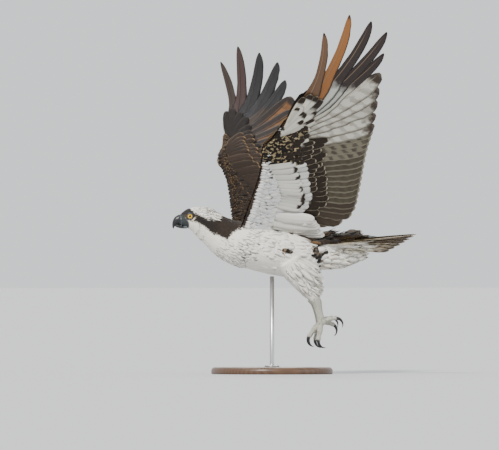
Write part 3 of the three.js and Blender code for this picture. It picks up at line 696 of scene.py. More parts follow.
class Feather(Nodes):
    """A feather's material, read from the feather's own length and width."""

    def __init__(self, name, side):
        super().__init__(name)
        self.tint = self.attribute(side + "tint", "Color")
        vane = self.node("ShaderNodeSeparateXYZ", {0: self.attribute("vane", "Vector")})
        self.along, self.across, self.seed = vane.outputs
        mark = self.node("ShaderNodeSeparateColor", {0: self.attribute(side + "mark", "Color")})
        self.start, self.edging, self.barring = mark.outputs
        self.off_shaft = self.math("ABSOLUTE", self.across)
        self.grain = self.noise(GRAIN, 2.0)
        self.cloud = self.noise(CLOUD)

    def shaded(self, root_shade):
        """The tint, darker at the root and a little different for each feather."""
        vary = self.range(self.seed, 0.0, 1.0, 0.93, 1.05)
        shade = self.times(self.range(self.along, 0.0, 0.5, root_shade, 1.0), vary)
        grey = self.node("ShaderNodeCombineColor", {0: shade, 1: shade, 2: shade}).outputs[0]
        return self.blend(1.0, self.tint, grey, "MULTIPLY")

    def bars(self, count):
        """Slanting bars across the feather, broken by the broad noise."""
        place = self.plus(self.times(self.along, count), self.times(self.off_shaft, -0.5))
        place = self.plus(place, self.times(self.cloud, 0.9))
        wave = self.math("SINE", self.times(self.plus(place, self.seed), 2 * math.pi))
        band = self.times(self.range(wave, -0.1, 0.6), self.range(self.cloud, 0.25, 0.6, 0.45, 1.0))
        return self.times(band, self.barring)

    def spots(self, scale):
        return self.times(self.range(self.noise(scale, 1.0), *MOTTLE_EDGE), self.barring)

    def dark_end(self):
        reach = self.plus(self.along, self.times(self.minus(self.cloud, 0.5), 0.16))
        return self.range(self.minus(reach, self.start), -0.05, 0.05)

    def core(self):
        """The dark middle of a streaked feather."""
        middle = self.times(self.range(self.off_shaft, 0.7, 0.3), self.range(self.along, 0.3, 0.6))
        return self.times(middle, self.start)

    # The fringe at the sides and the end; on the under faces of the inner primaries it is a dark line of
    # painted shadow between the feathers
    def rim(self, side_from, end_from):
        side = self.range(self.off_shaft, side_from, 0.95)
        end = self.range(self.along, end_from, end_from + 0.03)
        return self.times(self.math("MAXIMUM", side, end), self.edging)

    def shaft_line(self):
        return self.times(self.range(self.off_shaft, 0.08, 0.03), self.range(self.along, 1.0, 0.8))

    def barbs(self):
        return self.math("SINE", self.times(self.minus(self.along, self.times(self.off_shaft, 0.25)), BARBS))


def feather_material(name, *, side="", bars=0.0, bar_colour=DARK_BROWN, tip_colour=None, fringe=BUFF,
                     shaft=None, front_web=None, root_shade=0.92, roughness=0.75, sheen=0.0,
                     rim_from=(0.78, 0.96), mottle=0.0):
    """A feather's tint with its bars, dark end, fringe, shaft and barbs."""
    n = Feather(name, side)
    colour = n.shaded(root_shade)
    if front_web:
        colour = n.blend(n.range(n.across, 0.02, 0.2), colour, front_web)
    if bars:
        colour = n.blend(n.bars(bars), colour, bar_colour)
    if mottle:
        colour = n.blend(n.spots(mottle), colour, bar_colour)
    if tip_colour:
        colour = n.blend(n.dark_end(), colour, tip_colour)
    else:
        colour = n.blend(n.core(), colour, bar_colour)
    colour = n.blend(n.rim(*rim_from), colour, fringe)
    if shaft:
        colour = n.blend(n.shaft_line(), colour, shaft)
    soft = n.blend(1.0, colour, (0.72, 0.70, 0.68), "MULTIPLY")
    colour = n.deepen(n.blend(n.times(n.grain, 0.3), colour, soft))
    n.bump(n.plus(n.times(n.barbs(), 0.4), n.grain), 0.3, 0.0005)
    rough = n.range(n.grain, 0.2, 0.8, roughness - 0.08, roughness + 0.08)
    return n.settle(Base_Color=colour, Roughness=rough, Sheen_Weight=sheen, Specular_IOR_Level=0.25)


def skin_material():
    n = Nodes("down")
    colour = n.attribute("tint", "Color")
    grain = n.noise(700.0)
    worn = n.blend(1.0, colour, (0.6, 0.57, 0.52), "MULTIPLY")
    colour = n.blend(n.range(grain, 0.3, 0.8, 0.0, 0.5), colour, worn)
    n.bump(grain, 0.5, 0.001)
    return n.settle(Base_Color=n.deepen(colour), Roughness=0.9)


def horn_material(name, dark, pale, low, high):
    """Horn that pales towards its root, with fine growth lines."""
    n = Nodes(name)
    noise = n.noise(260.0)
    edge = n.plus(n.attribute("share", "Fac"), n.times(n.minus(noise, 0.5), 0.25))
    n.bump(n.noise(1500.0, 1.0), 0.2, 0.0003)
    return n.settle(Base_Color=n.blend(n.range(edge, low, high), dark, pale),
                    Roughness=n.range(noise, 0.3, 0.7, 0.3, 0.46))


def foot_material():
    """Rough scales, darker in the gaps between them."""
    n = Nodes("foot_scales")
    cells = n.node("ShaderNodeTexVoronoi", {"Scale": 420.0, "Vector": n.place()}, feature="DISTANCE_TO_EDGE")
    gap = n.range(cells.outputs["Distance"], 0.02, 0.16)
    patch = n.noise(90.0)
    scale = n.blend(patch, (0.56, 0.56, 0.47), (0.74, 0.73, 0.62))
    n.bump(n.plus(gap, n.times(patch, 0.5)), 0.9, 0.0008)
    return n.settle(Base_Color=n.blend(gap, (0.20, 0.20, 0.17), scale), Roughness=0.62)


def eye_material():
    """Yellow iris with fine rays, black pupil and dark rim, under a wet surface."""
    n = Nodes("eye")
    from_axis = n.attribute("polar", "Fac")
    rays = n.noise(9.0, at=n.attribute("ray", "Vector"))
    yellow = n.blend(rays, (0.90, 0.60, 0.0), (0.72, 0.36, 0.0))
    colour = n.blend(n.range(from_axis, 18.5, 20.5), (0.001, 0.001, 0.001), yellow)
    colour = n.blend(n.range(from_axis, 35.0, 40.0), colour, (0.012, 0.009, 0.007))
    return n.settle(Base_Color=colour, Roughness=0.4, Coat_Weight=0.5, Coat_Roughness=0.04,
                    Specular_IOR_Level=0.15)


def lid_material():
    n = Nodes("lid_skin")
    grain = n.noise(GRAIN)
    n.bump(grain, 0.4, 0.0004)
    return n.settle(Base_Color=n.blend(grain, (0.012, 0.011, 0.012), (0.05, 0.05, 0.055)), Roughness=0.5)


def wood_material():
    n = Nodes("stained_wood")
    rings = n.node("ShaderNodeTexWave", {"Vector": n.stretched(1.2, 14.0, 14.0), "Scale": 3.0,
                                         "Distortion": 5.0, "Detail": 3.0},
                   wave_type="BANDS", bands_direction="Y").outputs["Fac"]
    fibre = n.noise(4.0, at=n.stretched(8.0, 220.0, 220.0))
    colour = n.blend(rings, (0.060, 0.028, 0.014), (0.125, 0.062, 0.030))
    colour = n.blend(n.times(fibre, 0.55), colour, (0.030, 0.014, 0.008))
    colour = n.blend(n.times(n.noise(3.0), 0.3), colour, (0.15, 0.08, 0.04))
    n.bump(fibre, 0.15, 0.0004)
    return n.settle(Base_Color=colour, Roughness=n.range(fibre, 0.2, 0.8, 0.35, 0.5), Coat_Weight=0.2,
                    Coat_Roughness=0.2)


def steel_material():
    n = Nodes("brushed_steel")
    brush = n.noise(3.0, at=n.stretched(90.0, 90.0, 2500.0))
    n.bump(brush, 0.08, 0.0002)
    return n.settle(Base_Color=n.blend(brush, (0.50, 0.50, 0.50), (0.62, 0.62, 0.63)), Metallic=1.0,
                    Roughness=n.range(brush, 0.2, 0.8, 0.24, 0.4))


FEATHERS = {
    "plumage": {"sheen": 0.1, "mottle": 110.0},
    "small_covert": {"root_shade": 0.8, "mottle": 170.0, "fringe": (0.36, 0.24, 0.12),
                     "rim_from": (0.62, 0.90)},
    "upper_covert": {"tip_colour": TIP_BROWN, "fringe": (0.38, 0.25, 0.12), "rim_from": (0.70, 0.94)},
    "under_covert": {"mottle": 150.0, "tip_colour": (0.040, 0.027, 0.019), "fringe": (0.62, 0.56, 0.44)},
    "finger_upper": {"side": "upper_", "tip_colour": SLATE, "fringe": (0.012, 0.010, 0.010),
                     "shaft": DARK_SHAFT, "roughness": 0.5},
    "finger_under": {"tip_colour": (0.060, 0.045, 0.042), "fringe": (0.022, 0.016, 0.013),
                     "shaft": (0.30, 0.22, 0.15), "roughness": 0.55},
    "primary_upper": {"side": "upper_", "bars": 7.0, "tip_colour": TIP_BROWN, "fringe": (0.10, 0.06, 0.03),
                      "shaft": DARK_SHAFT, "roughness": 0.55, "front_web": TIP_BROWN},
    # its dark fringe is painted shadow between the feathers
    "primary_under": {"bars": 8.0, "bar_colour": (0.20, 0.17, 0.14), "tip_colour": (0.075, 0.055, 0.042),
                      "fringe": (0.20, 0.17, 0.13), "shaft": (0.62, 0.58, 0.48), "roughness": 0.6},
    "secondary_upper": {"side": "upper_", "bars": 7.0, "tip_colour": (0.030, 0.019, 0.013),
                        "fringe": (0.30, 0.20, 0.11), "shaft": DARK_SHAFT, "roughness": 0.6},
    "secondary_under": {"bars": 9.0, "bar_colour": (0.075, 0.060, 0.050), "tip_colour": (0.11, 0.088, 0.068),
                        "fringe": (0.50, 0.46, 0.37), "shaft": (0.55, 0.50, 0.40), "roughness": 0.6},
    "tail_feather": {"bars": 7.0, "bar_colour": (0.075, 0.045, 0.028), "tip_colour": (0.055, 0.036, 0.024),
                     "fringe": (0.62, 0.50, 0.33), "shaft": (0.70, 0.60, 0.42), "roughness": 0.6},
}
MATERIALS = {name: feather_material(name, **looks) for name, looks in FEATHERS.items()}
MATERIALS |= {
    "skin": skin_material(),
    "bill": horn_material("bill_horn", (0.008, 0.009, 0.011), (0.105, 0.13, 0.14), 0.68, 0.95),
    "talon": horn_material("talon_horn", (0.008, 0.007, 0.007), (0.035, 0.032, 0.030), 0.75, 1.0),
    "foot": foot_material(),
    "eye": eye_material(),
    "lid": lid_material(),
    "wood": wood_material(),
    "steel": steel_material(),
}


# Flesh

def leg_surface(leg, inset=0):
    return oval(LEG + np.array([leg["shift"], 0, 0]), inset, leg["side"] * leg["out"])


SKIN_CORNER, SKIN_LONG = -240, 460  # of the skin's unwrap, along x
# The wing's flesh lies inside its coverts: span, and how far it keeps from their surface
FLESH = {"from": -40, "to": 336, "rings": 60, "round": 28, "front": 1, "shorter": 4, "thinner": 2}
WING_SKIN = {"side": 75, "z": 330}  # past these the skin belongs to a wing
LEG_COAT = 2.5
ONE_SKIN_VOXEL = 2.0


def wing_flesh(wing):
    place = wing_sheet(wing)
    s = np.linspace(FLESH["from"], FLESH["to"], FLESH["rings"])
    front, back, half = track(WING_CORE, s)[..., None].transpose(1, 0, 2)
    angle = around(FLESH["round"])
    share = (1 - np.cos(angle)) / 2
    x = front + FLESH["front"] + (back - front - FLESH["shorter"]) * share
    h = (half - FLESH["thinner"]) * np.sin(angle) * core_swell(share)
    return place(x, s[:, None] + np.zeros_like(x), h)


def make_skin():
    """One skin for head, neck, trunk, thighs and the flesh of both wings."""
    parts = [tube_mesh(oval_rings(oval(TRUNK, coat_inset), 0, len(TRUNK) - 1, 170, 72))]
    for leg in LEGS.values():
        parts.append(tube_mesh(oval_rings(leg_surface(leg, LEG_COAT), 0, HEEL + 0.2, 60, 40)))
    parts += [tube_mesh(wing_flesh(wing)) for wing in WINGS.values()]
    made = one_skin("skin", parts, ONE_SKIN_VOXEL, softness=4)
    points = read_points(made.data) / MM
    x, y, z = points.T
    colour, _ = plumage(points)
    for wing in WINGS.values():
        colour[(y * wing["side"] > WING_SKIN["side"]) & (z > WING_SKIN["z"])] = BROWN
    set_colours(made, "tint", colour)
    girth = np.arctan2(y, z - np.interp(x, TRUNK[:, 0], TRUNK[:, 1]))
    set_bake_map(made, np.column_stack([0.5 + girth / (2.02 * math.pi), (x - SKIN_CORNER) / SKIN_LONG]))
    finish_piece(made, "white_plumage", MATERIALS["skin"])
    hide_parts("head", "neck", "torso", "thigh_left", "thigh_right")


# The coat of the body

# Loose dark feathers of the back: where on the trunk they root, how they lie, and their colour
TUFTS = {
    "scapulars": {"count": 170, "t": (8.3, 11.7), "angle": 0.62, "turn": 0.12, "length": (28, 48),
                  "wide": 0.48, "lift": 5, "rising": 0, "uneven": 1.5, "curl": 0.8, "fray": 0.07,
                  "colour": BROWN, "power": 1, "edges": 0.7},
    "rump_tufts": {"count": 150, "t": (11.6, 15.3), "angle": 1.1, "turn": 0.25, "length": (22, 42),
                   "wide": 0.42, "lift": 8, "rising": 6, "uneven": 6, "curl": 0.4, "fray": 0.12,
                   "colour": FLANK_GOLD, "power": 2, "edges": 0.8},
}
BACK_CUP = 0.08
NO_MARK = (0, 0, 0)
BARE_ROUND_EYE = 8.4
VENT_LENGTH = 30.0
# grey-brown of the painted shade on the lower feathers of the lobe under the tail
VENT_PAINTED_SHADE = (0.36, 0.30, 0.21)
TRUNK_LENGTHS = [0, 1.5, 3, 5, 7, 9, 12, 14, 16], [4, 5, 8, 13, 18, 23, 26, 30, 34]
LEG_LENGTHS = [0, 2, 4, 5], [26, 22, 13, 9]


def wrap_uv(angle, share):
    """Places on the bake map: the angle goes across it, the share along it."""
    return np.column_stack([(angle % (2 * math.pi)) / (2 * math.pi) * 0.98 + 0.01, share])


def body_uv(t, angle):
    return wrap_uv(angle, t / (len(TRUNK) - 1) * 0.98 + 0.01)


def feather_length(t, lengths=TRUNK_LENGTHS):
    """Length of the feathers at each section of the trunk, or of a leg."""
    return float(np.interp(t, *lengths))


def on_face(at):
    """The face has feathers outside the rims of the eyes and behind the bill's bare skin."""
    feathered = at[:, 0] > bare_edge(at[:, 2])
    for side in (-1, 1):
        eye = [EYE["x"] - 2, side * (EYE["y"] + 5), EYE["z"] + 1]
        feathered &= np.linalg.norm(at - eye, axis=1) >= BARE_ROUND_EYE
    return feathered


def lay_coat(name, surface, start, stop, *, lift, wide, outline="contour", rows=5, keep=None, paint=plumage,
             length_at=feather_length, curl=0.9, **spacing):
    """A piece of the coat, in rows over a surface from one section to another."""
    vanes = Vanes(rows, 3)
    t, angle = rows_on(surface, start, stop, length_at, **spacing)
    at, along, normal = surface_frame(surface, t, angle)
    if keep:
        chosen = keep(at)
        t, angle, at, along, normal = (values[chosen] for values in (t, angle, at, along, normal))
    length = np.array([length_at(v) for v in t]) * rng.uniform(0.8, 1.25, len(t))
    along = turned(along, normal, rng.normal(0, 0.13, len(t)))
    colour, mark = paint(at + along * length[:, None] * 0.5)
    width = length * wide * rng.uniform(0.85, 1.2, len(t))
    body_vanes(vanes, outline, at, along, normal, length, width, lift=lift + rng.normal(0, 1.5, len(t)),
               curl=curl, fray=0.07, tint=colour, mark=mark, root_uv=body_uv(t, angle))
    vanes.build(name, "white_plumage", MATERIALS["plumage"])


def make_body_coat():
    surface = oval(TRUNK, coat_inset)
    lay_coat("coat_head", surface, 0.45, 5, lift=8, wide=0.34, outline="hair", rows=3, keep=on_face,
             round_share=0.315, along_share=0.27)
    lay_coat("coat_neck", surface, 4.2, 8, lift=5.0, wide=0.4, round_share=0.21, along_share=0.24)
    lay_coat("coat_body", surface, 7.6, 15.6, lift=4.0, wide=0.44, round_share=0.2, along_share=0.22)
    lay_crest(surface)
    lay_coat("vent_fluff", oval(VENT), 0, 4.9, lift=7, wide=0.42, outline="plume", paint=vent_colour_and_painted_shade,
             length_at=lambda t: VENT_LENGTH, curl=0.3)
    for name, tufts in TUFTS.items():
        lay_tufts(surface, name, tufts)


# Pale feathers, some darkened towards the lobe's lower side by painted shade
def vent_colour_and_painted_shade(p):
    low = zone("vent", p[:, 0], p[:, 2])
    pale = mix(WHITE, CREAM, rng.random(len(p)) * 0.5)
    return mix(pale, VENT_PAINTED_SHADE, low * rng.random(len(p))), NO_MARK


def lay_tufts(surface, name, tufts):
    """Long brown feathers between the wings, or ruffled ones over the tail's root."""
    vanes = Vanes(5, 3)
    count = tufts["count"]
    t = rng.uniform(*tufts["t"], count)
    angle = rng.uniform(-tufts["angle"], tufts["angle"], count)
    at, along, normal = surface_frame(surface, t, angle)
    along = turned(along, normal, rng.normal(0, tufts["turn"], count))
    length = rng.uniform(*tufts["length"], count)
    colour = mix(DARK_BROWN, tufts["colour"], rng.random(count) ** tufts["power"])
    none = np.zeros(count)
    mark = np.column_stack([none, rng.random(count) * tufts["edges"], none])
    lift = tufts["lift"] + tufts["rising"] * (t - tufts["t"][0]) + rng.normal(0, tufts["uneven"], count)
    body_vanes(vanes, "contour", at, along, normal, length, length * tufts["wide"], lift=lift,
               curl=tufts["curl"], cup=BACK_CUP, fray=tufts["fray"], tint=colour, mark=mark,
               root_uv=body_uv(t, angle))
    vanes.build(name, "brown_plumage", MATERIALS["plumage"])


def lay_crest(surface):
    """Loose nape feathers that stand out behind the head."""
    vanes = Vanes(5, 3)
    count = 110
    t = rng.uniform(3.0, 4.9, count)
    angle = rng.normal(0, 0.5, count)
    at, along, normal = surface_frame(surface, t, angle)
    colour, mark = plumage(at)
    length = rng.uniform(13, 23, count)
    body_vanes(vanes, "plume", at, along, normal, length, length * 0.3, lift=9 + rng.normal(0, 3, count),
               curl=0.4, fray=0.1, tint=colour, mark=mark, root_uv=body_uv(t, angle))
    vanes.build("crest", "white_plumage", MATERIALS["plumage"])


def leg_uv(t, angle):
    return wrap_uv(angle, t / 5.2)


def square_to(normal, along):
    """Directions made square to others."""
    return unit(normal - along * np.einsum("ij,ij->i", normal, along)[:, None])


def make_trousers(name, surface):
    """Long loose feathers that fall back from the thigh, edge on to the side."""
    vanes = Vanes(5, 3)
    count = 240
    t = rng.uniform(0.1, 3.3, count)
    angle = rng.uniform(-1.4, 1.4, count)
    at, along, normal = surface_frame(surface, t, angle)
    behind = rng.uniform(0.45, 1.05, count)[:, None] * np.array([1.0, 0, 0])
    back = unit(along + behind + normal * 0.15 + rng.normal(0, 0.1, (count, 3)))
    length = rng.uniform(30, 60, count) * (1 - 0.16 * t)
    beside = np.sign(np.sin(angle))[:, None] * np.array([0, 1.0, 0]) + rng.normal(0, 0.35, (count, 3))
    normal = square_to(beside, back)
    colour = mix(WHITE, CREAM, rng.random(count) * 0.4)
    body_vanes(vanes, "plume", at, back, normal, length, length * 0.34, lift=0.0, curl=0.25, fray=0.1,
               tint=colour, mark=NO_MARK, root_uv=leg_uv(t, angle))
    vanes.build(f"trousers_{name}", "white_plumage", MATERIALS["plumage"])


def make_leg_coat(name, leg):
    surface = leg_surface(leg, LEG_COAT)
    vanes = Vanes(5, 3)
    t, angle = rows_on(surface, 0.1, HEEL - 0.2, lambda t: feather_length(t, LEG_LENGTHS))
    count = len(t)
    at, along, normal = surface_frame(surface, t, angle)
    length = np.interp(t, *LEG_LENGTHS) * rng.uniform(0.8, 1.3, count)
    along = unit(turned(along, normal, rng.normal(0, 0.15, count)) + [0.12, 0, 0])
    colour = mix(WHITE, CREAM, rng.random(count) * 0.3)
    body_vanes(vanes, "contour", at, along, normal, length, length * 0.46, lift=6 + rng.normal(0, 2, count),
               curl=0.8, fray=0.08, tint=colour, mark=NO_MARK, root_uv=leg_uv(t, angle))
    vanes.build(f"coat_thigh_{name}", "white_plumage", MATERIALS["plumage"])
    make_trousers(name, surface)


# Wings

EDGE_WEAR = 0.05
RIB = 1.0, 0.32, 0.2  # thickness of the shaft, beside it, and of the vane
FLIGHT_CUP = 0.012
WHOLE_LENGTH = 0.96  # of the bake map, for the feathers that lie side by side on it
COVERT_PATCH = (0.02, 0.05)


def sheet_vane(vanes, place, root, tip, width, shape, *, outer, tilt, cup, shaft, tint, mark, root_uv, patch,
               bow=0, lateness=1):
    """One feather on a sheet, with a raised shaft and a worn edge."""
    u, wide = (np.array(v) for v in shape)
    run = np.array([tip[0] - root[0], tip[1] - root[1]])
    run = run / np.linalg.norm(run)
    side = np.array([-run[1], run[0]])
    hump = 4 * u * (1 - u)
    x, s = (root[k] + (tip[k] - root[k]) * u + side[k] * bow * hump for k in (0, 1))
    h = root[2] + (tip[2] - root[2]) * u**lateness
    v = vanes.across
    half = np.where(v > 0, outer, 1 - outer) * v
    worn = 1 - np.abs(rng.normal(0, EDGE_WEAR, (len(u), len(v)))) * (np.abs(v) > 0.99)
    d = width * wide[:, None] * half[None, :] * worn
    lift = tilt * d + cup * width * wide[:, None] * (1 - v**2)[None, :]
    spot = x[:, None] + side[0] * d, s[:, None] + side[1] * d
    grid, above = (place(*spot, h[:, None] + lift + up) for up in (0.0, 1.0))
    rib = np.where(np.abs(v) < 0.02, RIB[0], np.where(np.abs(v) < 0.12, RIB[1], RIB[2]))
    thick = shaft * rib[None, :] * (1.05 - u[:, None] * 0.85)
    half_thick = unit(above - grid) * thick[..., None]
    vanes.add(grid[None], half_thick[None], u, tint, mark, np.array([root_uv]), patch)


ACROSS = [-1, -0.66, -0.33, -0.08, 0, 0.12, 0.45, 0.75, 1]


# Widths along the outer primaries, which narrow into fingers, and along the others
FINGER_WIDTHS = ([0, 0.12, 0.3, 0.4, 0.52, 0.84, 0.93, 0.98, 1],
                 [0.3, 0.8, 0.92, 0.88, 0.56, 0.46, 0.36, 0.2, 0.06])
FLIGHT_WIDTHS = [0, 0.15, 0.45, 0.8, 0.92, 0.97, 1], [0.3, 0.75, 0.97, 0.98, 0.78, 0.5, 0.14]
COVERT_WIDTHS = [0, 0.3, 0.7, 0.9, 0.97, 1], [0.5, 0.95, 1, 0.8, 0.5, 0.15]


def finger_shape(n):
    u = np.concatenate([np.linspace(0, 0.86, 15), [0.9, 0.94, 0.97, 0.99, 1]])
    return u, np.interp(u, *(FINGER_WIDTHS if n < FINGERS else FLIGHT_WIDTHS))


def flight_width(n):
    if n >= PRIMARIES + SECONDARIES:
        return 46
    if n >= PRIMARIES:
        return 52
    return 40 + 14 * min(1, n / 2)


# Colours of each flight feather from the wing's tip inwards: the first, the colour of
# its upper face, of its under face, where the dark end starts on each, the strength of
# the edges and of the bars on each. On the under faces of the inner primaries the edges
# are dark lines of painted shadow between the feathers
FLIGHT_COLUMNS = ("from", "upper", "under", "ends", "edges", "bars")
FLIGHT_LOOKS = [dict(zip(FLIGHT_COLUMNS, row)) for row in [
    # the warm under faces of the two outer primaries are partly their own brown, partly painted light shining
    # through them
    (0, (0.062, 0.044, 0.036), (0.21, 0.125, 0.075), (0.99, 1.1), (0.5, 0.8), (0, 0)),
    (1, (0.066, 0.040, 0.036), (0.36, 0.165, 0.060), (0.99, 1.1), (0.5, 0.8), (0, 0)),
    (2, (0.030, 0.030, 0.036), (0.60, 0.60, 0.56), (0.4, 0.46), (0.5, 0.8), (0, 0)),
    (4, (0.050, 0.032, 0.022), (0.62, 0.60, 0.52), (0.6, 0.62), (0.4, 0.5), (0, 0)),
    # the warm upper face of the inner primaries is partly their own brown, partly painted light shining
    # through them
    (5, (0.22, 0.110, 0.045), (0.68, 0.66, 0.58), (0.9, 0.9), (0.4, 0.6), (0.3, 0.45)),
    (10, (0.060, 0.036, 0.021), (0.25, 0.23, 0.17), (0.9, 0.93), (0.8, 0.7), (0.6, 0.9)),
    (14, (0.055, 0.033, 0.020), (0.120, 0.102, 0.070), (0.9, 0.97), (0.8, 0.75), (0.5, 0.45)),
    (22, (0.050, 0.030, 0.018), (0.085, 0.065, 0.047), (0.9, 1.1), (0.8, 0.6), (0.3, 0.3)),
]]


def flight_look(n, face):
    """Colour and marks of one face of a flight feather: 0 is the upper face, 1 the under one."""
    look = [look for look in FLIGHT_LOOKS if look["from"] <= n][-1]
    colour = look["under" if face else "upper"]
    return colour, (look["ends"][face], look["edges"][face], look["bars"][face])


def make_flight_feathers(name, wing):
    place = wing_sheet(wing)
    vanes = Vanes(20, len(ACROSS), ACROSS)
    for n in range(FLIGHT):
        finger, primary = n < FINGERS, n < PRIMARIES
        bow = -20 + 14 * n / FINGERS if finger else (-6 if primary else 0)
        tint, mark = flight_look(n, 1)
        sheet_vane(vanes, place, track(FLIGHT_ROOTS, n), track(FLIGHT_TIPS, n), flight_width(n),
                   finger_shape(n), outer=0.34 if primary else 0.42, tilt=FLIGHT_TILT, bow=bow,
                   lateness=3.4 if primary else 1,
                   cup=FLIGHT_CUP, shaft=1.3, tint=tint, mark=mark, root_uv=[(n + 0.5) / FLIGHT, 0.5],
                   patch=(0.9 / FLIGHT, WHOLE_LENGTH))
    looks = [f"{group}_{face}" for group in ("finger", "primary", "secondary") for face in ("upper", "under")]
    made = vanes.build(f"flight_{name}", "flight_feathers", *(MATERIALS[look] for look in looks))
    paint_flight(made, vanes)
    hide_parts(f"wing_{name}")


def paint_flight(made, vanes):
    """Gives the upper face its own colours, and each group of feathers its materials."""
    tints, marks = zip(*(flight_look(n, 0) for n in range(FLIGHT)))
    set_colours(made, "upper_tint", np.repeat(tints, vanes.points_each, axis=0))
    set_colours(made, "upper_mark", np.repeat(marks, vanes.points_each, axis=0))
    group = np.searchsorted([FINGERS, PRIMARIES], np.arange(FLIGHT), side="right")
    index = (group[:, None] * 2 + vanes.is_under[None, :]).ravel()
    made.data.polygons.foreach_set("material_index", index.astype(np.int32))


# Of the coverts: colour, where the dark end starts, strength of the pale edge and of the mottle
LOOKS = {
    "dark": ((0.020, 0.015, 0.013), (1.2, 0.12, 0.0)),
    "brown": ((0.038, 0.023, 0.014), (1.2, 0.75, 0.0)),
    "spotted": ((0.70, 0.68, 0.60), (0.80, 0.3, 0.0)),
    "band": ((0.62, 0.60, 0.54), (0.58, 0.85, 0.0)),
    "inner band": ((0.62, 0.60, 0.54), (0.72, 0.9, 0.0)),
    "lining": ((0.74, 0.74, 0.72), (1.2, 0.1, 0.0)),
    "lining spots": ((0.76, 0.75, 0.70), (0.86, 0.1, 0.0)),
}
FACES = {1: "upper", -1: "under"}
PLAIN_END = 1.2
SPOTTED_SHARE = 0.45
CARPAL_FROM = 205
MOTTLED = (0.44, 0.36, 0.22)


LINING_WHITE = (0.74, 0.76, 0.78)
# The dark patch at the wrist, the dark front edge and the spots on the lining: places along the
# span, places behind the front or on the sheet, and half sizes
CARPAL = {"s": 252, "half_s": 48, "behind": 30, "half_x": 36, "strength": 1.3}
FRONT_EDGE = {"half_x": 11, "s": (200, 245)}
LINING_SPOTS = {"s": 150, "half_s": 40, "x": 78, "half_x": 12, "least": 0.2}


def covert_shape():
    u = np.array([0, 0.15, 0.35, 0.55, 0.72, 0.84, 0.92, 0.97, 1])
    return u, np.interp(u, *COVERT_WIDTHS)


def make_covert_rows(name, wing):
    place = wing_sheet(wing)
    for face, label in FACES.items():
        vanes = Vanes(9, 5, [-1, -0.4, 0, 0.4, 1])
        for row in COVERTS:
            if row["side"] == face:
                for n in np.linspace(row["first"], row["last"], row["count"]):
                    lay_covert(vanes, place, row, n + rng.normal(0, 0.06))
        if face < 0:
            lay_axillaries(vanes, place)
        vanes.build(f"coverts_{label}_{name}", "flight_feathers", MATERIALS[f"{label}_covert"])


def lay_covert(vanes, place, row, n):
    root, tip = track(FLIGHT_ROOTS, n)[:2], track(FLIGHT_TIPS, n)[:2]
    length = np.linalg.norm(tip - root)
    run = (tip - root) / length
    start = root + run * row["start"]
    reach = root + run * row["reach"] * length * rng.uniform(0.93, 1.07) + rng.normal(0, 1.5, 2)
    tint, mark = LOOKS[row["look"]]
    tint, mark = np.array(tint) * rng.uniform(0.85, 1.12), list(mark)
    mark[0] += rng.normal(0, 0.03)
    mark[1] *= rng.uniform(0.4, 1.0) if row["side"] > 0 else 1.0
    if "spot" in row["look"] and rng.random() > SPOTTED_SHARE:
        mark[0] = PLAIN_END
    if row["look"].startswith("lining") and reach[1] > CARPAL_FROM + rng.normal(0, 6):
        tint = np.array(MOTTLED) * rng.uniform(0.8, 1.2)
        mark[0] = rng.uniform(0.7, 1.1)
        mark[2] = 1.0
    width = row["width"] * rng.uniform(0.92, 1.12)
    sheet_vane(vanes, place, [*start, row["rise"]], [*reach, row["lie"]], width, covert_shape(), outer=0.45,
               tilt=FLIGHT_TILT / 2, cup=0.03 * row["side"], shaft=0.7, tint=tint, mark=mark,
               root_uv=wing_uv(*start), patch=COVERT_PATCH)


def lay_axillaries(vanes, place):
    a = AXILLARIES
    for i in range(a["count"]):
        root = [a["root_x"] + rng.uniform(-4, 4), a["root_s"] + a["step"] * i, a["rise"]]
        tip = [a["tip_x"] - a["shorten"] * i + rng.uniform(-7, 5), a["tip_s"] + a["step"] * i, a["lie"]]
        tint = np.array(WHITE) * rng.uniform(0.88, 1.0)
        width = a["width"] * rng.uniform(0.9, 1.1)
        sheet_vane(vanes, place, root, tip, width, covert_shape(), outer=0.5, tilt=FLIGHT_TILT, cup=-0.03,
                   shaft=0.7, tint=tint, mark=(PLAIN_END, 0.0, 0.0), root_uv=wing_uv(*root[:2]),
                   patch=COVERT_PATCH)


# The wing's sheet on the bake map: x and s of its corner, and its sizes
WING_CORNER, WING_DEEP, WING_LONG = -60, 340, 760


def wing_uv(x, s):
    return np.array([0.02 + 0.96 * (x - WING_CORNER) / WING_DEEP,
                     0.04 + 0.92 * (s - WING_CORNER) / WING_LONG])


def bell(value, middle, half):
    return np.exp(-((value - middle) / half) ** 2)


def wing_patch_colour(x, s, face):
    """Colour of the small coverts at places of the wing, and their marks."""
    noise, other = rng.random(len(x)), rng.random(len(x))
    if face > 0:
        return mix(DARK_BROWN, BROWN, noise), np.stack([0.2 * noise, 0.85 * (other > 0.35), 0 * noise], -1)
    behind = x - track(WING_CORE, s)[:, 0]
    carpal = bell(s, CARPAL["s"], CARPAL["half_s"]) * bell(behind, CARPAL["behind"], CARPAL["half_x"])
    edge = bell(behind, 0, FRONT_EDGE["half_x"]) * smooth(s, *FRONT_EDGE["s"])
    patch = np.maximum(carpal * CARPAL["strength"], edge)
    dark = noise < np.clip(patch, 0, 0.8)
    colour = mix(LINING_WHITE, WHITE, rng.random(len(x)))
    where = LINING_SPOTS
    near = bell(s, where["s"], where["half_s"]) * bell(x, where["x"], where["half_x"])
    spots = (other < 0.5) * near > where["least"]
    colour = mix(colour, DARK_BROWN, np.maximum(dark, spots))
    yellow = (other < 0.4) * (patch > 0.2) * ~dark
    colour = mix(colour, MOTTLED, yellow * 0.9)
    return colour, np.stack([0 * noise, 0 * noise, smooth(patch, 0.3, 0.6)], -1)


SMALL_COVERTS_END = {1: 332, -1: 306}  # along the span, above and below
SMALL_COVERTS_FROM = -30
SMALL_SHARES = {1: [0.0, 0.02, 0.05], -1: [0.07]}  # of the rows at the front edge, above and below
LEAD = -2.5  # of the first small coverts, past the solids' leading edge


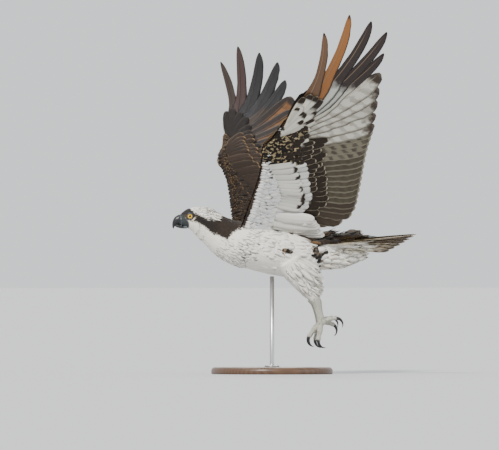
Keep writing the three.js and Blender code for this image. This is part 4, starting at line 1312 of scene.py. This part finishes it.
def lay_small_row(vanes, place, face, share):
    """One row along the span, at a share of the way from the front edge to the back."""
    s = np.arange(SMALL_COVERTS_FROM, SMALL_COVERTS_END[face], 6.5 + 5 * share)
    s = s + rng.uniform(-2.5, 2.5, len(s))
    front, back, half = track(WING_CORE, s).T
    front, half = front + LEAD, half - 1.5
    at_share = np.clip(share + rng.uniform(-0.02, 0.02, len(s)), 0, 1)
    x = front + (back - front) * at_share
    h = face * core_height(at_share, half)
    at = place(x, s, h)
    n = np.interp(-s, -FLIGHT_ROOTS[:, 2], FLIGHT_ROOTS[:, 0])
    flight = unit(track(FLIGHT_TIPS, n)[:, :2] - track(FLIGHT_ROOTS, n)[:, :2])
    run = unit(flight + np.array([0.5 * (1 - share), 0]) + rng.normal(0, 0.08, (len(s), 2)))
    next_x = x + run[:, 0] * 4
    next_share = np.clip((next_x - front) / (back - front), 0, 1)
    along = unit(place(next_x, s + run[:, 1] * 4, face * core_height(next_share, half)) - at)
    normal = square_to(unit(place(x, s, h + face) - at), along)
    length = (13 + 20 * share) * rng.uniform(0.85, 1.2, len(s))
    colour, mark = wing_patch_colour(x + run[:, 0] * length * 0.6, s + run[:, 1] * length * 0.6, face)
    lift = 5 + rng.normal(0, 1.5, len(s))
    body_vanes(vanes, "contour", at, along, normal, length, length * 0.68, lift=lift, curl=1.0, fray=0.06,
               tint=colour, mark=mark, root_uv=wing_uv(x, s).T)


def make_small_coverts(name, wing):
    """Rows of small feathers over the flesh of the wing, on both faces."""
    place = wing_sheet(wing)
    for face, label in FACES.items():
        vanes = Vanes(5, 3)
        for share in np.concatenate([SMALL_SHARES[face], np.linspace(0.1, 0.72, 13)]):
            lay_small_row(vanes, place, face, share)
        vanes.build(f"lesser_{label}_{name}", "flight_feathers", MATERIALS["small_covert"])


# Tail

OUTER_PALE, INNER_DARK = (0.52, 0.45, 0.34), (0.13, 0.085, 0.058)


def make_tail():
    vanes = Vanes(20, len(ACROSS), ACROSS)
    last = TAIL["count"] - 1
    for number in range(TAIL["count"]):
        across = 2 * number / last - 1
        angle = math.radians(TAIL["spread"]) * across
        length = TAIL["length"] - TAIL["outer_loss"] * abs(across)
        level = TAIL["top"] - (abs(across) * last + (across > 0)) * TAIL["layer"]
        out = TAIL["root_out"] * across
        tip = [length * math.cos(angle), length * math.sin(angle) + out, level]
        sheet_vane(vanes, tail_sheet, [-14, out, level], tip, TAIL["width"] * 0.9, finger_shape(PRIMARIES),
                   outer=0.5 - 0.16 * across, tilt=0, cup=FLIGHT_CUP, shaft=1.1,
                   tint=OUTER_PALE if abs(across) > 0.5 else INNER_DARK, mark=(0.9, 0.8, 0.9),
                   root_uv=[(number + 0.5) / TAIL["count"], 0.5], patch=(0.9 / TAIL["count"], WHOLE_LENGTH))
    made = vanes.build("tail_feathers", "flight_feathers", MATERIALS["tail_feather"])
    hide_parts("tail")


TAIL_TRACTS = {
    "tail_coverts_upper": {"count": 60, "start": (-30, 20), "out": 13, "length": (50, 78), "root": 7,
                           "tip": 8, "spread": 22, "face": 1, "colour": (DARK_BROWN, FLANK_GOLD)},
    "tail_coverts_under": {"count": 170, "start": (-40, 22), "out": 17, "length": (46, 88), "root": -9,
                           "tip": -19, "spread": 24, "face": -1, "colour": (WHITE, CREAM)},
}


def make_tail_coverts():
    for name, tract in TAIL_TRACTS.items():
        vanes = Vanes(7, 5)
        count = tract["count"]
        across = rng.uniform(-1, 1, count)
        start = rng.uniform(*tract["start"], count)
        length = rng.uniform(*tract["length"], count) * (1 - 0.15 * np.abs(across))
        angle = np.radians(tract["spread"]) * across + rng.normal(0, 0.05, count)
        level = tract["root"] * (1 - 0.35 * np.abs(across)) + rng.normal(0, 0.8, count)
        drop = (tract["tip"] - tract["root"]) * rng.uniform(0.7, 1.1, count)
        out = tract["out"] * across
        at = tail_sheet(start, out, level)
        reach = tail_sheet(start + length * np.cos(angle), out + length * np.sin(angle), level + drop)
        along = unit(reach - at)
        normal = unit(np.cross(along, np.cross(np.array([0, 0, float(tract["face"])]), along)))
        colour = mix(*tract["colour"], rng.random(count) ** 2)
        uv = np.column_stack([0.5 + 0.45 * across, (start + 60) / 120])
        body_vanes(vanes, "broad", at, along, normal, length, length * 0.34 + 6, lift=rng.normal(1, 2, count),
                   curl=0.12, cup=BACK_CUP, thick=0.9, fray=0.07, tint=colour, mark=NO_MARK, root_uv=uv,
                   sink=0.0)
        vanes.build(name, "white_plumage", MATERIALS["plumage"])


# Head parts

def share_along(made, rows, columns):
    """Gives a horn its share of the length, 1 at the root, and its bake map."""
    share = np.concatenate([np.repeat(np.linspace(1.0, 0.0, rows), columns), [1.0, 0.0]])
    set_point_values(made, "share", "FLOAT", share)
    turn = np.concatenate([np.tile(np.arange(columns) / columns, rows), [0.5, 0.5]])
    set_bake_map(made, np.column_stack([turn, 0.02 + 0.96 * share]))


def make_horn(name, rings, slot, material):
    made = face_outward(make_object(name, *tube_mesh(rings)))
    share_along(made, *rings.shape[:2])
    return finish_piece(made, slot, MATERIALS[material])


def make_bill():
    rows, columns = 70, 40
    rings = oval_rings(oval(BILL), 0, len(BILL) - 1, rows, columns)
    angle = around(columns)
    t = np.linspace(0, len(BILL) - 1, rows)[:, None]
    # the cere swells over the nostril, and the cutting edge is pinched in below
    centre = rings.mean(1, keepdims=True)
    swell = 1 + 0.05 * smooth(-t, -2.4, -1.4) - 0.10 * bell(np.cos(angle), -0.55, 0.25) * smooth(t, 1, 3)
    hollow = 0.16 * bell(t, 1.75, 0.28) * bell(np.cos(angle), 0.42, 0.16)
    rings = centre + (rings - centre) * (swell - hollow)[..., None]
    made = make_horn("bill_upper_horn", rings, "horn", "bill")
    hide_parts("bill_upper")
    rings = oval_rings(oval(LOWER_BILL), 0, len(LOWER_BILL) - 1, 40, 28)
    made = make_horn("bill_lower_horn", rings, "horn", "bill")
    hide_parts("bill_lower")


def eye_frame(side):
    """Centre of an eye, its axis, and two directions across it."""
    axis = unit(np.array([-0.3, side * 0.94, 0.12]))
    right = unit(np.cross(axis, [0, 0, 1.0]))
    return np.array([EYE["x"], side * EYE["y"], EYE["z"]]), axis, right, np.cross(right, axis)


def make_eye(name, side):
    centre, axis, right, up = eye_frame(side)
    rows, columns = 40, 48
    polar = np.linspace(0.5, 179.5, rows)
    turn = around(columns)
    # the clear front bulges a little beyond the ball
    radius = EYE["radius"] * (1 + 0.045 * np.exp(-(polar / 30) ** 2))
    a = np.radians(polar)[:, None, None]
    ring = right * np.cos(turn)[:, None] + up * np.sin(turn)[:, None]
    spot = axis * np.cos(a) + ring[None] * np.sin(a)
    made = face_outward(make_object(f"eyeball_{name}", *tube_mesh(centre + spot * radius[:, None, None])))
    each = np.repeat(polar, columns)
    set_point_values(made, "polar", "FLOAT", np.concatenate([each, [0, 180]]))
    ray = np.stack([np.tile(np.cos(turn), rows), np.tile(np.sin(turn), rows), each / 200], -1)
    set_point_values(made, "ray", "FLOAT_VECTOR", np.concatenate([ray, np.zeros((2, 3))]))
    flat = np.concatenate([ray[:, :2] * (each / 180)[:, None], [[0, 0], [1, 0]]])
    set_bake_map(made, flat * 0.48 + 0.5)
    finish_piece(made, "eye", MATERIALS["eye"])
    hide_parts(f"eye_{name}")


def make_lids(name, side):
    """A dark rim of bare skin, fuller above."""
    centre, axis, right, up = eye_frame(side)
    rows, columns = 56, 14
    turn = around(rows)[:, None]
    round_tube = around(columns)[None]
    tube = EYE["tube"] * (1 + 0.55 * smooth(np.sin(turn), 0.1, 0.9) + 0.06 * np.cos(3 * turn))
    out = EYE["lid"] * (1 + 0.07 * np.abs(np.cos(turn))) + tube * np.cos(round_tube)
    height = 4.9 + 1.1 * smooth(np.sin(turn), 0.2, 1) + tube * 0.85 * np.sin(round_tube)
    points = (centre + right * (out * np.cos(turn))[..., None] + up * (out * np.sin(turn))[..., None]
              + axis * height[..., None])
    faces = grid_faces(rows, columns, True)
    last = (rows - 1) * columns
    for j in range(columns):
        k = (j + 1) % columns
        faces.append([last + j, last + k, k, j])
    made = face_outward(make_object(f"lids_{name}", points.reshape(-1, 3), faces))
    turns = np.meshgrid(np.linspace(0, 0.99, rows), np.linspace(0, 0.99, columns), indexing="ij")
    set_bake_map(made, np.stack(turns, -1).reshape(-1, 2))
    finish_piece(made, "white_plumage", MATERIALS["lid"])


# Feet

LEG_RINGS = {"from": HEEL - 0.6, "to": len(LEG) - 1, "rows": 120, "round": 32, "scutes": 26}
TOE_RINGS = {"rows": 90, "round": 24, "scutes": 13}
SCUTE_HEIGHT = 0.035
FOOT_VOXEL = 0.8


def toe_points(leg, toe, share):
    """Places along a toe, which arches a little from the foot to the claw."""
    hub = np.array([LEG[-2][0] + leg["shift"], leg["side"] * leg["out"], LEG[-2][1]])
    to = hub + [-toe["forward"], leg["side"] * toe["out"], -toe["down"]]
    bend = (hub + to) / 2 + [0, 0, 4]
    share = share[:, None]
    return hub * (1 - share) ** 2 + 2 * bend * share * (1 - share) + to * share**2


def sweep(path, radius, columns):
    """Rings round a path that keep from twisting."""
    tangent = unit(np.gradient(path, axis=0))
    side = unit(np.cross(tangent[0], [0.3, 1, 0.2]))
    angle = around(columns)[:, None]
    rings = []
    for at, along, r in zip(path, tangent, radius):
        side = unit(side - along * np.dot(side, along))
        rings.append(at + r * (np.cos(angle) * side + np.sin(angle) * np.cross(along, side)))
    return np.array(rings)


def make_foot(name, leg):
    """Lower leg and toes, with rings of scutes and swollen pads."""
    r = LEG_RINGS
    rings = oval_rings(leg_surface(leg), r["from"], r["to"], r["rows"], r["round"])
    centre = rings.mean(1, keepdims=True)
    t = np.linspace(0, 1, r["rows"])[:, None, None]
    rings = centre + (rings - centre) * (1 + SCUTE_HEIGHT * np.sin(t * 2 * math.pi * r["scutes"]))
    parts = [tube_mesh(rings)]
    share = np.linspace(0, 1, TOE_RINGS["rows"])
    joint = 1 + 0.1 * np.cos(share * 4 * math.pi)
    scute = 1 + SCUTE_HEIGHT * np.abs(np.sin(share * math.pi * TOE_RINGS["scutes"]))
    end = np.sqrt(np.clip((1.02 - share) / 0.08, 0.03, 1))
    for toe in TOES:
        radius = toe["r"] * (1 - 0.18 * share) * joint * scute * end
        parts.append(tube_mesh(sweep(toe_points(leg, toe, share), radius, TOE_RINGS["round"])))
    made = one_skin(f"foot_skin_{name}", parts, FOOT_VOXEL, softness=1)
    finish_piece(made, "foot_skin", MATERIALS["foot"])
    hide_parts(f"tarsus_{name}", f"foot_{name}")
    for toe in TOES:
        make_talon(name, leg, toe)


def make_talon(name, leg, toe):
    ends = toe_points(leg, toe, np.array([0.98, 1.0]))
    start = unit(ends[1] - ends[0])
    curl = np.array([0.35, 0, -1.0])
    curl = unit(curl - start * np.dot(curl, start))
    turn = math.radians(TALON["turn"])
    radius = TALON["long"] / turn
    share = np.linspace(0, 1, TALON["rows"])
    angle = (share * turn)[:, None]
    root = ends[1] - start * TALON["sunk"]
    path = root + start * radius * np.sin(angle) + curl * radius * (1 - np.cos(angle))
    thick = TALON["r"] + (TALON["tip"] - TALON["r"]) * share**1.35
    rings = sweep(path, thick, TALON["round"])
    made = make_horn(f"talon_horn_{name}_{toe['name']}", rings, "talon", "talon")
    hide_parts(f"talon_{name}_{toe['name']}")


# Stand

def lathe(profile, columns):
    angle = around(columns)
    profile = np.array(profile, float)
    rings = np.stack([profile[:, :1] * np.cos(angle), profile[:, :1] * np.sin(angle),
                      profile[:, 1:] + np.zeros(columns)], -1)
    return tube_mesh(rings)


def make_turned(name, profile, columns, slot, material):
    made = face_outward(make_object(name, *lathe(profile, columns)))
    return finish_piece(made, slot, MATERIALS[material])


def make_stand():
    """A turned base with a rounded rim and a fine groove, and a rod with a flange."""
    radius, thick, edge = STAND["radius"], STAND["thick"], STAND["edge"]
    rim = [[radius - edge + edge * math.sin(a), thick - edge + edge * math.cos(a)]
           for a in np.linspace(0, math.pi / 2, 10)]
    foot = [[radius, 2.2], [radius - 0.8, 0.8], [radius - 2.2, 0]]
    groove = [[radius - 22, thick], [radius - 20, thick - 1], [radius - 18, thick]]
    profile = [[0.5, thick], [radius * 0.5, thick], *groove, *rim, *foot, [radius * 0.5, 0], [0.5, 0]]
    base = make_turned("base_turned", profile, 160, "stand_wood", "wood")
    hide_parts("stand_base")
    rod_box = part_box("stand_rod")
    top = rod_box[1][2] / MM - 1
    low = thick + 0.3
    r, flange, fillet = STAND["rod"], STAND["flange"], STAND["fillet"]
    high = low + STAND["flange_thick"]
    hollow = [[r + fillet - fillet * math.cos(a), high + fillet - fillet * math.sin(a)]
              for a in np.linspace(0.2, 1.5, 7)]
    lip = [[flange - 1.2, high], [flange - 0.3, high - 0.4], [flange, high - 1.2], [flange, low + 0.4],
           [flange - 0.4, low]]
    profile = [[0.3, top], [r, top], [r, high + fillet], *hollow, *lip, [0.3, low]]
    rod = make_turned("rod_turned", profile, 64, "stand_steel", "steel")
    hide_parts("stand_rod")


# Stage, light and camera

VIEW_TURN = math.radians(-14)
MM_PER_PIXEL = 2.3
IMAGE_WIDE = 499
CAMERA_AWAY_M = 45.0
SENSOR = 36.0
FLOOR_HALF = 60000
AIM_ACROSS = -51.75  # of the picture's middle, along the picture's right
AIM_HIGH = 343.0


FLOOR_GREY = (0.53, 0.54, 0.55)
WORLD_COLOUR, WORLD_STRENGTH = (0.86, 0.88, 0.90), 1.15
# The studio's soft lights: from where, strength, colour, and width in degrees
SUNS = {
    "key": ((-0.75, -1.0, 1.05), 3.9, (1.0, 0.965, 0.90), 10),
    "fill": ((1.0, -0.7, 0.4), 0.5, (0.92, 0.95, 1.0), 40),
    "rim": ((0.3, 1.0, 0.8), 0.9, (1.0, 0.98, 0.95), 20),
}


def make_camera():
    data = bpy.data.cameras.new("camera")
    data.sensor_width = SENSOR
    data.lens = SENSOR * CAMERA_AWAY_M / (IMAGE_WIDE * MM_PER_PIXEL * MM)
    data.clip_end = 3 * CAMERA_AWAY_M
    camera = link_new("camera", data)
    right = np.array([math.cos(VIEW_TURN), math.sin(VIEW_TURN), 0])
    back = np.array([math.sin(VIEW_TURN), -math.cos(VIEW_TURN), 0])
    camera.location = (right * AIM_ACROSS + np.array([0, 0, AIM_HIGH])) * MM + back * CAMERA_AWAY_M
    camera.rotation_euler = (math.pi / 2, 0, VIEW_TURN)
    bpy.context.scene.camera = camera


def soft_sun(name, toward_light, strength, colour, spread):
    """Even light from one side of the studio."""
    data = bpy.data.lights.new(name, "SUN")
    data.energy, data.color, data.angle = strength, colour, math.radians(spread)
    x, y, z = toward_light
    turn = math.atan2(y, x) + math.pi / 2
    link_new(name, data).rotation_euler = (math.atan2(math.hypot(x, y), z), 0, turn)


def make_stage():
    corners = [(-1, -1), (1, -1), (1, 1), (-1, 1)]
    points = [[a * FLOOR_HALF, b * FLOOR_HALF, 0] for a, b in corners]
    floor = make_object("floor", points, [[0, 1, 2, 3]])
    floor.data.materials.append(Nodes("stage").settle(Base_Color=FLOOR_GREY, Roughness=0.9))
    world = bpy.data.worlds.new("studio")
    bpy.context.scene.world = world
    world.use_nodes = True
    background = world.node_tree.nodes["Background"]
    background.inputs[0].default_value = (*WORLD_COLOUR, 1)
    background.inputs[1].default_value = WORLD_STRENGTH
    for name, looks in SUNS.items():
        soft_sun(name, *looks)


make_camera()
make_stage()
make_skin()
make_body_coat()
for side_name, leg_numbers in LEGS.items():
    make_leg_coat(side_name, leg_numbers)
    make_foot(side_name, leg_numbers)
for side_name, wing_numbers in WINGS.items():
    make_flight_feathers(side_name, wing_numbers)
    make_covert_rows(side_name, wing_numbers)
    make_small_coverts(side_name, wing_numbers)
    make_eye(side_name, wing_numbers["side"])
    make_lids(side_name, wing_numbers["side"])
make_tail()
make_tail_coverts()
make_bill()
make_stand()
